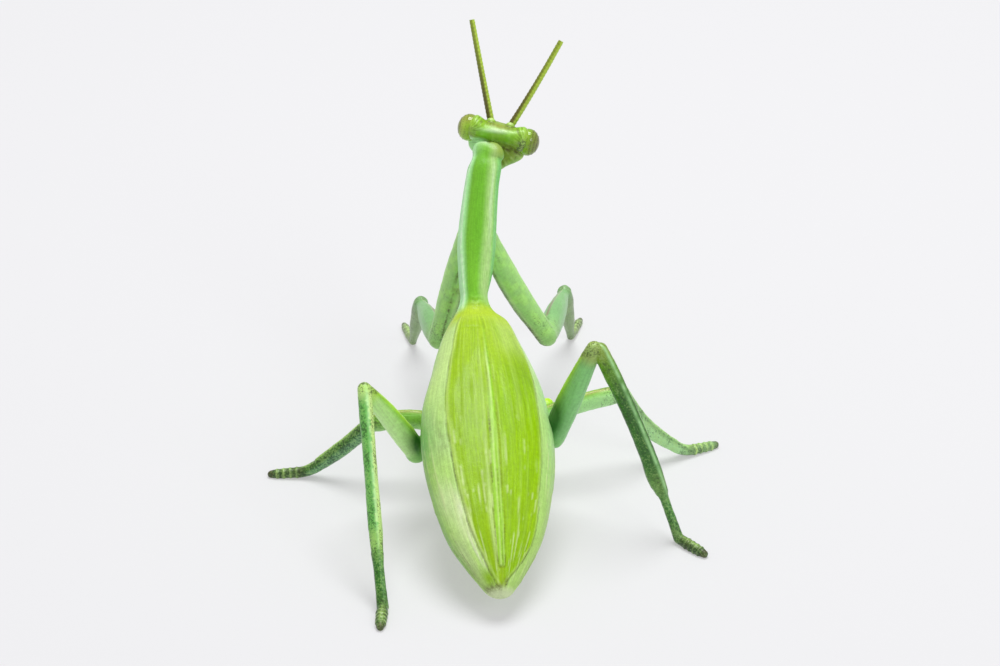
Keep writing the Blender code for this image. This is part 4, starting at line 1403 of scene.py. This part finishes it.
class Limb:
    """One limb of a leg, from joint to joint, with its radius at stops along it."""

    def __init__(self, name, start, end, stops, radii, sign, bow=(0.0, 0.0)):
        self.name, self.start, self.end, self.bow, self.sign = name, start, end, bow, sign
        self.stops, self.radii = np.array(stops, float), np.array(radii, float)
        self.ahead = unit(end - start)
        self.length = np.linalg.norm(end - start)
        side, self.top = cross_frame(self.ahead)
        self.side = side * sign

    def locate(self, points):
        """Share along the limb, angle round it in degrees, and depth under its round surface."""
        away = points - self.start
        share = np.clip(away @ self.ahead / self.length, 0, 1)
        radial = away - self.ahead * (share * self.length)[:, None] - self.bend(share)
        angle = np.degrees(np.arctan2(radial @ self.top, radial @ self.side))
        depth = follow(self.stops, self.radii, share) - np.linalg.norm(radial, axis=1)
        return share, angle, depth

    def at(self, share):
        """A point of the middle line."""
        return self.start + self.ahead * self.length * share + self.bend(np.array([share]))[0]

    def bend(self, share):
        """How far the middle line lies off the straight line between the joints."""
        swell = np.sin(share * math.pi)[:, None]
        return swell * (self.side * self.bow[0] + self.top * self.bow[1])

    def form(self, first=0.0, last=1.0, columns=28):
        """Rings of the limb. Its section follows the shape that belongs to its name."""
        inner = np.linspace(first, last, 30)
        size = follow(self.stops, self.radii, inner)
        reach, size = rounded(inner * self.length, size, 0.08, 6)
        angle = turns(columns)
        stretch, keel = LIMB_SECTION.get(self.name, (1.0, 0.0))
        ridge = 1 + keel * near(np.degrees(angle), 90, 20) + 0.5 * keel * near(np.degrees(angle), 270, 24)
        middle = np.clip(reach / self.length, 0, 1)
        fade = np.sin(middle * math.pi) ** 0.5
        ridge = 1 + (ridge - 1) * fade[:, None]
        stretch = 1 + (stretch - 1) * fade[:, None]
        across = size[:, None] * np.cos(angle) * ridge / stretch
        rise = size[:, None] * np.sin(angle) * ridge * stretch
        centres = self.start + self.ahead * reach[:, None] + self.bend(middle)
        return centres[:, None] + self.side * across[..., None] + self.top * rise[..., None]


class Leg:
    """The joints of one leg and the thickness of its limbs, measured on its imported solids."""

    def __init__(self, kind, side):
        self.kind, self.side, self.sign = kind, side, SIDES[side]
        names = ("coxa", "femur", "tibia") if kind == "fore" else ("femur", "tibia")
        solids = [Solid(f"{kind}_{side}_{name}") for name in (*names, "tarsus")]
        middles = [solid.points.mean(0) for solid in solids]
        axes = [solid.axis(after - at) for solid, at, after in zip(solids, middles, middles[1:])]
        thickness = [
            measure(solid, *axis, LIMB_FRACTIONS, 0.5, 0.0)[1].mean(1) for solid, axis in zip(solids, axes)
        ]
        root = axes[0][0]
        if kind != "fore":
            root = axes[0][0] + unit(axes[0][1] - axes[0][0]) * thickness[0][0]
        self.joints = [root, *(crossing(a, b) for a, b in zip(axes, axes[1:])), axes[-1][1]]
        for index, shift in JOINT_SHIFT.get((kind, side), {}).items():
            self.joints[index] = self.joints[index] + np.array(shift)
        self.limbs = []
        for name, start, end, radii in zip(names, self.joints, self.joints[1:], thickness):
            if name == "tibia":
                start = start + np.array(KNEE_STEP.get((kind, side), (0.0, 0.0, 0.0)))
            ends = LIMB_ENDS[kind, name]
            full = np.array((radii[0] * ends[0], *radii, radii[-1] * ends[1])) * LIMB_GIRTH[kind, name]
            full *= SIDE_GIRTH.get((kind, side, name), 1.0)
            bow = LIMB_BOW.get((kind, side, name), (0.0, 0.0))
            stops = (0, *LIMB_FRACTIONS, 1)
            self.limbs.append(Limb(f"{kind}_{name}", start, end, stops, full, self.sign, bow))
        if kind != "fore":
            hip = self.joints[0]
            inward = hip + np.array((-self.sign, 1, 1)) * HIP_REACH.get((kind, side), PLAIN_REACH)
            radii = thickness[0][0] * np.array((1.0, 0.96))
            self.limbs.insert(0, Limb(f"{kind}_hip", inward, hip, (0, 1), radii, self.sign))
        foot = solids[-1].points
        ankle = self.joints[-1]
        tip = foot[np.argmax(np.linalg.norm(foot - ankle, axis=1))]
        tip = tip + UP * (FOOT_RADIUS[kind] * 0.6 - tip[2])
        path = [ankle, tip]
        if kind == "hind":
            floor = foot[foot[:, 2] < 0.02]
            heel = floor[np.argmin(np.linalg.norm(floor - ankle, axis=1))]
            heel = heel + unit(tip - heel) * FOOT_RADIUS[kind] + UP * (FOOT_RADIUS[kind] - 0.1)
            heel[0] += HEEL_SHIFT[side]
            path = [ankle, heel, tip]
            girth = np.array((1.15, 1.0, 0.98, 1.1)) * SHANK_RADIUS[side]
            self.limbs.append(Limb("hind_shank", ankle, heel, (0, 0.15, 0.6, 1), girth, self.sign))
        start = path[-2] * 1.0
        start[2] = max(FOOT_RADIUS[kind], min(start[2], FOOT_RADIUS[kind] + 0.3))
        size = FOOT_RADIUS[kind] * np.array((0.96, 1.0, 0.96, 0.88, 0.7))
        self.limbs.append(Limb(f"{kind}_foot", start, tip, (0, 0.25, 0.6, 0.85, 1), size, self.sign))
        self.foot = self.limbs[-1]
        self.tibia = next(limb for limb in self.limbs if limb.name.endswith("tibia"))

    def clay(self, rings):
        """Everything that the leg is fused from."""
        clay = Clay()
        soft = self.kind == "mid"
        for limb in self.limbs:
            first = ANKLE_BEND / limb.length if soft and limb is self.foot else 0
            last = 1 - ANKLE_BEND / limb.length if soft and limb is self.tibia else 1
            clay.add(limb.form(first, last))
        clay.add_mesh(rings)
        for spread in (-CLAW_SPREAD, CLAW_SPREAD):
            heading = unit(self.foot.ahead + self.foot.side * spread - UP * CLAW_DROP)
            start = self.foot.end + self.foot.ahead * 0.2
            clay.add(limb_form(start, start + heading * CLAW, CLAW_RADII, 12))
        if soft:
            start = self.tibia.at(1 - ANKLE_BEND / self.tibia.length)
            end = self.foot.at(ANKLE_BEND / self.foot.length)
            clay.add(bent_form(start, self.foot.start, end, self.tibia.radii[-2], self.foot.radii[1]))
        if self.kind == "hind":
            cap = self.tibia.start + self.tibia.ahead * KNEE_FORWARD + self.tibia.top * KNEE_CAP[self.side]
            axes = np.array([self.tibia.side, self.tibia.ahead, self.tibia.top])
            clay.add(ball(cap, KNEE_RADII, axes))
        return clay


def foot_ring_tree():
    """A node tree that sets raised rings along a foot, each one smaller than the one behind it."""
    net, given, sockets = geometry_tree("Foot rings", (
        ("Start", VECTOR), ("End", VECTOR), ("Rings", WHOLE),
        ("First radius", FLOAT), ("Last radius", FLOAT), ("Thickness", FLOAT),
    ))
    line = net.add("GeometryNodeCurvePrimitiveLine", {"Start": given["Start"], "End": given["End"]})
    spread = {"Curve": line.outputs[0], "Count": given["Rings"]}
    places = net.add("GeometryNodeCurveToPoints", spread, mode="COUNT").outputs
    circle = net.add("GeometryNodeCurvePrimitiveCircle", {"Resolution": 24, "Radius": 1.0}).outputs["Curve"]
    index = net.add("GeometryNodeInputIndex").outputs[0]
    share = net.math("DIVIDE", index, net.math("SUBTRACT", given["Rings"], 1.0))
    copies = net.add("GeometryNodeInstanceOnPoints", {
        "Points": places["Points"], "Instance": circle, "Rotation": places["Rotation"],
        "Scale": net.between(share, given["First radius"], given["Last radius"]),
    })
    rings = net.add("GeometryNodeRealizeInstances", {0: copies.outputs[0]}).outputs[0]
    section = net.add("GeometryNodeCurvePrimitiveCircle", {"Resolution": 8, "Radius": given["Thickness"]})
    swept = net.add("GeometryNodeCurveToMesh", {"Curve": rings, "Profile Curve": section.outputs["Curve"]})
    end_tree(net, given, swept.outputs[0])
    return net.tree, sockets


def limb_finish(limb, share, angle):
    """Base colour, wash, dry brushing, stipple and relief of one limb, for all the vertices of its leg."""
    name = limb.name
    x = share * limb.length
    spot = noise(x * 0.5, angle * 0.03, 71)
    base = np.zeros((len(share), 3))
    relief = 0.05 * noise(x * 0.25, angle * 0.12, 72)
    wash = 0.0 * share
    dry = 0.0 * share
    stipple = 0.0 * share
    if name == "fore_coxa":
        colour = blend(base + COXA_GREEN, COXA_MINT, step(spot, 0.0, 1.0) * 0.6)
        if limb.ahead[0] > 0:
            crease = near(angle, 14 - 10 * share, 8) * step(share, 0.16, 0.2) * (1 - step(share, 0.95, 0.1))
            pit = near(share, 0.5, 0.03) * near(angle, -10, 14)
            relief -= 0.35 * crease + 0.35 * pit
            wash += 0.8 * crease * np.clip(0.6 + noise(x * 0.7, angle * 0.1, 73), 0, 1) + 0.7 * pit
        edge = near(angle, -42, 18) * step(share, 0.25, 0.3)
        colour = blend(colour, FORE_BROWN, 0.5 * edge)
        wash += 0.5 * edge
        stipple += 0.3 + 0.6 * edge + 0.3 * step(share, 0.7, 0.3)
        dry += 0.5 * near(angle, -16, 5) * step(share, 0.45, 0.3)
        wash += 0.45 * step(share, 0.84, 0.16) * near(angle, -46, 36)
        ribs = step(share, 0.86, 0.1) * np.clip(0.5 + spot, 0, 1)
        relief += 0.04 * np.sin(x * 6.5) * ribs
        wash += 0.15 * np.clip(-np.sin(x * 6.5), 0, 1) * ribs
    elif name == "fore_femur":
        colour = blend(base + COXA_MINT, FORE_MINT, 0.8 * step(share, 0.1, 0.5))
        line = near(angle, 110, 7) * step(share, 0.2, 0.1) * (1 - step(share, 0.98, 0.05))
        relief += 0.2 * near(angle, 98, 8) * step(share, 0.3, 0.1) - 0.16 * line
        colour = blend(colour, PINK_BROWN, 0.8 * line)
        wash += 0.4 * (1 - step(share, 0.12, 0.14)) * near(angle, -30, 50)
        ribs = (1 - step(share, 0.16, 0.1)) * np.clip(0.6 + spot, 0, 1)
        relief += 0.05 * np.sin(x * 6.5) * ribs
        dry += 0.25 * np.clip(np.sin(x * 6.5), 0, 1) * ribs
        stipple += 0.5 * near(angle, 100, 14) + 0.5 * (1 - step(share, 0.2, 0.2))
    elif name == "fore_tibia":
        colour = blend(base + FORE_MINT, FORE_BROWN, 0.85 * step(share, 0.0, 0.4))
        relief += 0.1 * near(angle, 90, 20)
        wash += 0.35 * near(angle, 140, 30) + 0.25 * near(angle, 20, 30)
        stipple += 0.55
    elif name == "mid_femur":
        pale = 0.8 if limb.sign < 0 else 0.3
        colour = blend(base + MID_LIME, LEG_MINT, pale * (1 - step(angle, 50 if limb.sign < 0 else 0, 50)))
        colour = blend(colour, LEG_OCHRE, 0.75 * near(angle, 82, 11))
        wash += 0.5 * near(share, 0.93, 0.05) * near(angle, 20, 40)
        relief += 0.1 * near(angle, 86, 12)
        stipple += 0.45 + 0.3 * step(share, 0.7, 0.3)
    elif name == "mid_tibia":
        teal = LEG_TEAL if limb.sign > 0 else LEG_MINT
        reach = 16 if limb.sign > 0 else 40
        colour = blend(base + LEG_GREEN, teal, 0.85 * (1 - step(angle, reach, 46)))
        colour = blend(colour, LEG_LIME, 0.85 * near(angle, 88, 18))
        wash += 0.3 * near(angle, 48, 22)
        stipple += 0.9 if limb.sign > 0 else 0.8
        colour = blend(colour, LEG_MINT, 0.0 if limb.sign > 0 else 0.45)
    elif name == "hind_femur":
        pale = FEMUR_PALE if limb.ahead[0] > 0 else FEMUR_MINT
        colour = blend(base + FEMUR_GREEN, pale, 0.9 * (1 - step(angle, 34, 50)))
        colour = blend(colour, FEMUR_LIME, 0.95 * near(angle, 94, 46) * step(share, 0.0, 0.4))
        centre = 0.06 if limb.sign > 0 else 0.2
        # Dark green at the femur's root, next to the body, is painted shade.
        dark = np.clip(1.5 * near(share, centre, 0.2) * near(angle, 36, 60), 0, 0.96)
        colour = blend(colour, FEMUR_ROOT_SHADE, dark)
        colour = blend(colour, LEG_OCHRE if limb.sign < 0 else FEMUR_LIME, 0.6 * step(share, 0.88, 0.14))
        wash += 0.25 * step(share, 0.86, 0.12) * near(angle, 100, 40)
        stipple += 0.8 * step(share, 0.75, 0.3) * near(angle, 80, 60) + 0.8 * step(share, 0.93, 0.12)
    elif name == "hind_tibia":
        broken = np.clip(0.7 + 0.6 * spot, 0, 1)
        if limb.sign > 0:
            face = 1 - step(angle, 74 + 16 * spot + 10 * noise(x * 1.6, x * 0, 74), 14)
            colour = blend(base + LEG_BRIGHT, LEG_SPECKLED, face * (1 - 0.6 * step(share, 0.9, 0.5)))
            keel = near(angle, 78, 15) * (1 - 0.5 * step(share, 0.8, 0.3))
            stipple += 0.85 * (1 - 0.75 * keel)
        else:
            keel = near(angle, 64, 13)
            colour = blend(base + LEG_GREEN, FOOT_GREEN, 0.5 * near(angle, 30, 30))
            colour = blend(colour, HEAD_LIME, 0.35 * near(share, 0.1, 0.14))
            wash += 0.5 * near(angle, 88, 5)
            relief += 0.6 * near(share, 0.9, 0.09) * near(angle, -60, 70)
            stipple += 0.72 * (1 - 0.8 * keel)
        knee = LEG_SPECKLED if limb.sign > 0 else COLLAR_OLIVE
        colour = blend(colour, knee, 0.7 * (1 - step(share, 0.06, 0.1)))
        colour = coated(
            colour,
            (LEG_LIME, (0.55 if limb.sign > 0 else 0.2) * step(share, 0.86, 0.12)),
            # Mint along the keel of each hind tibia is a painted highlight.
            (LEG_MINT, 0.75 * keel * broken),
        )
        relief += 0.14 * keel
    elif name.endswith("foot"):
        colour = base + FOOT_PAINT[name[:-5]]
        if name == "mid_foot" and limb.sign < 0:
            colour = blend(colour, LEG_MINT, 0.4)
        if name == "hind_foot" and limb.sign < 0:
            colour = blend(colour, FOOT_DARK, 0.8)
        lime = 0.15 if name == "mid_foot" and limb.sign > 0 else 0.5
        colour = blend(colour, LEG_LIME, lime * near(angle, 90, 30) * (1 - step(share, 0.8, 0.3)))
        wash += 0.2 + 0.25 * spot + 0.5 * step(share, 0.93, 0.08)
        stipple += 0.8
    elif name == "hind_shank":
        colour = blend(base + LEG_GREEN, LEG_MINT, 0.2 * near(angle, 60, 20))
        wash += 0.3 * step(share, 0.7, 0.4)
        stipple += 0.8
    elif name == "mid_hip":
        colour = base + FEMUR_LIME
    else:
        # The hip stub is dark green and washed towards the body: painted shade under the belly.
        colour = blend(base + FEMUR_ROOT_SHADE, FEMUR_GREEN, step(share, 0.3, 0.6))
        wash += 0.4 * (1 - step(share, 0.6, 0.5))
    return colour, wash, dry, stipple, relief


def make_leg(leg, material, tree, sockets, props):
    """One leg from hip to claws as one painted skin."""
    foot = leg.foot
    first, last = RING_SPAN
    rings = from_nodes("rings", tree, sockets, {
        "Start": (foot.start + (foot.end - foot.start) * first) * MM,
        "End": (foot.start + (foot.end - foot.start) * last) * MM,
        "Rings": props.foot_rings, "Thickness": props.ring_thickness,
        "First radius": foot.radii[1] * RING_SEAT * MM, "Last radius": foot.radii[3] * RING_SEAT * MM,
        "Material": material,
    })
    mesh = leg.clay(rings).fuse(f"leg_{leg.kind}_{leg.side}", LEG_VOXEL, 3)
    points = positions(mesh)
    found = [limb.locate(points) for limb in leg.limbs]
    weight = np.exp(np.clip(np.stack([depth for _, _, depth in found]) / JOINT_BLEND, -40, 20))
    weight /= weight.sum(0)
    total = [0.0] * 6
    reach = 0.0
    for limb, (share, angle, _), part in zip(leg.limbs, found, weight):
        finish = limb_finish(limb, share, angle)
        flow = np.stack([reach + share * limb.length, angle * 0.05, 0 * share], -1)
        for k, value in enumerate((*finish, flow)):
            total[k] = total[k] + value * (part[:, None] if value.ndim > 1 else part)
        reach += limb.length
    colour, wash, dry, stipple, relief, flow = total
    relief = relief + 0.05 * noise(points[:, 0] * 0.9, points[:, 2] * 0.9, 75)
    points = points + normals_of(mesh) * relief[:, None]
    points = relaxed(points, edges_of(mesh), 1, 0.3)
    points[:, 2] = np.maximum(points[:, 2], 0)
    set_points(mesh, points)
    share, _, _ = foot.locate(points)
    spacing = (last - first) / (props.foot_rings - 1)
    ringed = near(np.mod(share - first + spacing / 2, spacing), spacing / 2, 0.035)
    inside = step(share, first - spacing / 2, 0.01) * (1 - step(share, last + spacing / 2, 0.01))
    ringed *= inside * weight[-1]
    patchy = np.clip(0.55 + 0.6 * noise(points[:, 0] * 1.3, points[:, 1] * 1.3, 76), 0, 1)
    colour = blend(colour, RING_LIME, RING_PAINT[leg.kind, leg.side] * ringed * patchy)
    cavity = hollows(mesh, 6)
    wash = np.clip(wash, 0, 1) * (1 - ringed) + 0.7 * step(cavity, 0.05, 0.07)
    dry = dry + 0.55 * step(-cavity, 0.06, 0.08)
    paint_on(mesh, colour, wash, dry, stipple, flow)
    nodes = [f"{leg.kind}_{leg.side}_{name}" for name in ("coxa", "femur", "tibia", "tarsus")]
    piece(f"leg_{leg.kind}_{leg.side}", mesh, material, nodes)


def make_legs(props):
    """All six legs."""
    tree, sockets = foot_ring_tree()
    for kind in LEG_KINDS:
        material = painted(f"{kind}_leg_paint", props)
        for side in SIDES:
            make_leg(Leg(kind, side), material, tree, sockets, props)


# Stage

def aimed(name, data, place):
    """A lamp or a camera that points at the figure."""
    holder = linked(name, data)
    holder.location = place
    holder.rotation_euler = (Vector(AIM) * MM - holder.location).to_track_quat("-Z", "Y").to_euler()
    return holder


def make_stage(props):
    """Pale floor, soft overhead light and the camera."""
    corners = [(x * FLOOR_SIZE, y * FLOOR_SIZE, 0) for x, y in ((-1, -1), (1, -1), (1, 1), (-1, 1))]
    floor_mesh = bpy.data.meshes.new("floor")
    floor_mesh.from_pydata(corners, [], [(0, 1, 2, 3)])
    paper, net, shader = new_material("floor_paper")
    net.fill(shader, {
        "Base Color": (*FLOOR_TONE, 1), "Emission Color": (*FLOOR_GLOW_TONE, 1),
        "Emission Strength": FLOOR_GLOW, "Roughness": 0.9, "Specular IOR Level": 0.1,
    })
    floor_mesh.materials.append(paper)
    floor = linked("floor", floor_mesh)
    for name, place, size, power in LAMPS:
        lamp = bpy.data.lights.new(name, "AREA")
        lamp.shape = "DISK"
        lamp.size = size
        lamp.energy = power * props.light
        lamp.color = LAMP_TONE
        aimed(name, lamp, place)
    world = bpy.data.worlds.new("studio")
    world.use_nodes = True
    light = world.node_tree.nodes["Background"]
    Net(world.node_tree).fill(light, {"Color": (*AMBIENT_TONE, 1), "Strength": props.ambient})
    bpy.context.scene.world = world
    lens = bpy.data.cameras.new("camera")
    lens.lens = CAMERA_LENS
    lens.sensor_width = 36
    bpy.context.scene.camera = aimed("camera", lens, Vector(CAMERA_AT) * MM)
    bpy.context.scene.view_settings.view_transform = "Standard"


# Add-on

class MantisSettings(bpy.types.PropertyGroup):
    """Sizes and finishes of the figurine."""

    grain: FloatProperty(
        name="Wing grain", description="Height of the lengthwise lines on the wing covers, in mm",
        default=0.085, min=0.0, max=0.3)
    roughness: FloatProperty(
        name="Roughness", description="Roughness of the satin paint",
        default=0.36, min=0.0, max=1.0, subtype="FACTOR")
    wash_strength: FloatProperty(
        name="Wash strength", description="Strength of the dark wash in the hollows",
        default=0.8, min=0.0, max=1.0, subtype="FACTOR")
    wash_colour: FloatVectorProperty(
        name="Wash colour", description="Colour of the dark wash",
        subtype="COLOR", default=srgb(78, 58, 24), min=0.0, max=1.0)
    dry_colour: FloatVectorProperty(
        name="Dry-brush colour", description="Pale paint brushed over raised edges",
        subtype="COLOR", default=srgb(212, 230, 160), min=0.0, max=1.0)
    eye_rows: IntProperty(
        name="Eye rows", description="Rows of beads round each eye", default=3, min=2, max=9)
    antenna_rings: IntProperty(
        name="Antenna rings", description="Faint rings along each antenna", default=26, min=4, max=60)
    foot_rings: IntProperty(
        name="Foot rings", description="Raised rings on each foot", default=4, min=2, max=8)
    ring_thickness: FloatProperty(
        name="Ring thickness", description="Thickness of a foot ring's edge",
        unit="LENGTH", default=0.00028, min=0.0001, max=0.001, precision=5)
    light: FloatProperty(
        name="Light", description="Strength of the studio lamps", default=1.0, min=0.0, max=5.0)
    ambient: FloatProperty(
        name="Ambient", description="Strength of the light from all round", default=0.48, min=0.0, max=5.0)


class MANTIS_OT_trunk(bpy.types.Operator):
    """Make the hind body, the wing covers and the prothorax as one painted skin"""

    bl_idname = "mantis.trunk"
    bl_label = "Trunk"

    def execute(self, context):
        make_trunk(context.scene.mantis)
        return {"FINISHED"}


class MANTIS_OT_head(bpy.types.Operator):
    """Make the head with its crossbar, face and mouthparts"""

    bl_idname = "mantis.head"
    bl_label = "Head"

    def execute(self, context):
        make_head(context.scene.mantis)
        return {"FINISHED"}


class MANTIS_OT_eyes(bpy.types.Operator):
    """Make both gloss eyes with their rows of beads"""

    bl_idname = "mantis.eyes"
    bl_label = "Eyes"

    def execute(self, context):
        make_eyes(context.scene.mantis)
        return {"FINISHED"}


class MANTIS_OT_antennae(bpy.types.Operator):
    """Sweep both antennae from their roots to their tips"""

    bl_idname = "mantis.antennae"
    bl_label = "Antennae"

    def execute(self, context):
        make_antennae(context.scene.mantis)
        return {"FINISHED"}


class MANTIS_OT_legs(bpy.types.Operator):
    """Make the six legs, each one skin from hip to claws"""

    bl_idname = "mantis.legs"
    bl_label = "Legs"

    def execute(self, context):
        make_legs(context.scene.mantis)
        return {"FINISHED"}


class MANTIS_OT_stage(bpy.types.Operator):
    """Set the pale floor, the soft light and the camera"""

    bl_idname = "mantis.stage"
    bl_label = "Stage"

    def execute(self, context):
        make_stage(context.scene.mantis)
        return {"FINISHED"}


OPERATORS = (
    MANTIS_OT_trunk,
    MANTIS_OT_head,
    MANTIS_OT_eyes,
    MANTIS_OT_antennae,
    MANTIS_OT_legs,
    MANTIS_OT_stage,
)


class MANTIS_PT_panel(bpy.types.Panel):
    """Lists the settings and the steps that build the figurine"""

    bl_idname = "MANTIS_PT_panel"
    bl_label = "Mantis figurine"
    bl_space_type = "VIEW_3D"
    bl_region_type = "UI"
    bl_category = "Mantis"

    def draw(self, context):
        for name in MantisSettings.__annotations__:
            self.layout.prop(context.scene.mantis, name)
        for operator in OPERATORS:
            self.layout.operator(operator.bl_idname)


CLASSES = (MantisSettings, *OPERATORS, MANTIS_PT_panel)


def register():
    for item in CLASSES:
        bpy.utils.register_class(item)
    bpy.types.Scene.mantis = PointerProperty(type=MantisSettings)


def unregister():
    del bpy.types.Scene.mantis
    for item in reversed(CLASSES):
        bpy.utils.unregister_class(item)


def main():
    register()
    for operator in OPERATORS:
        group, name = operator.bl_idname.split(".")
        getattr(getattr(bpy.ops, group), name)()


if __name__ == "__main__":
    main()
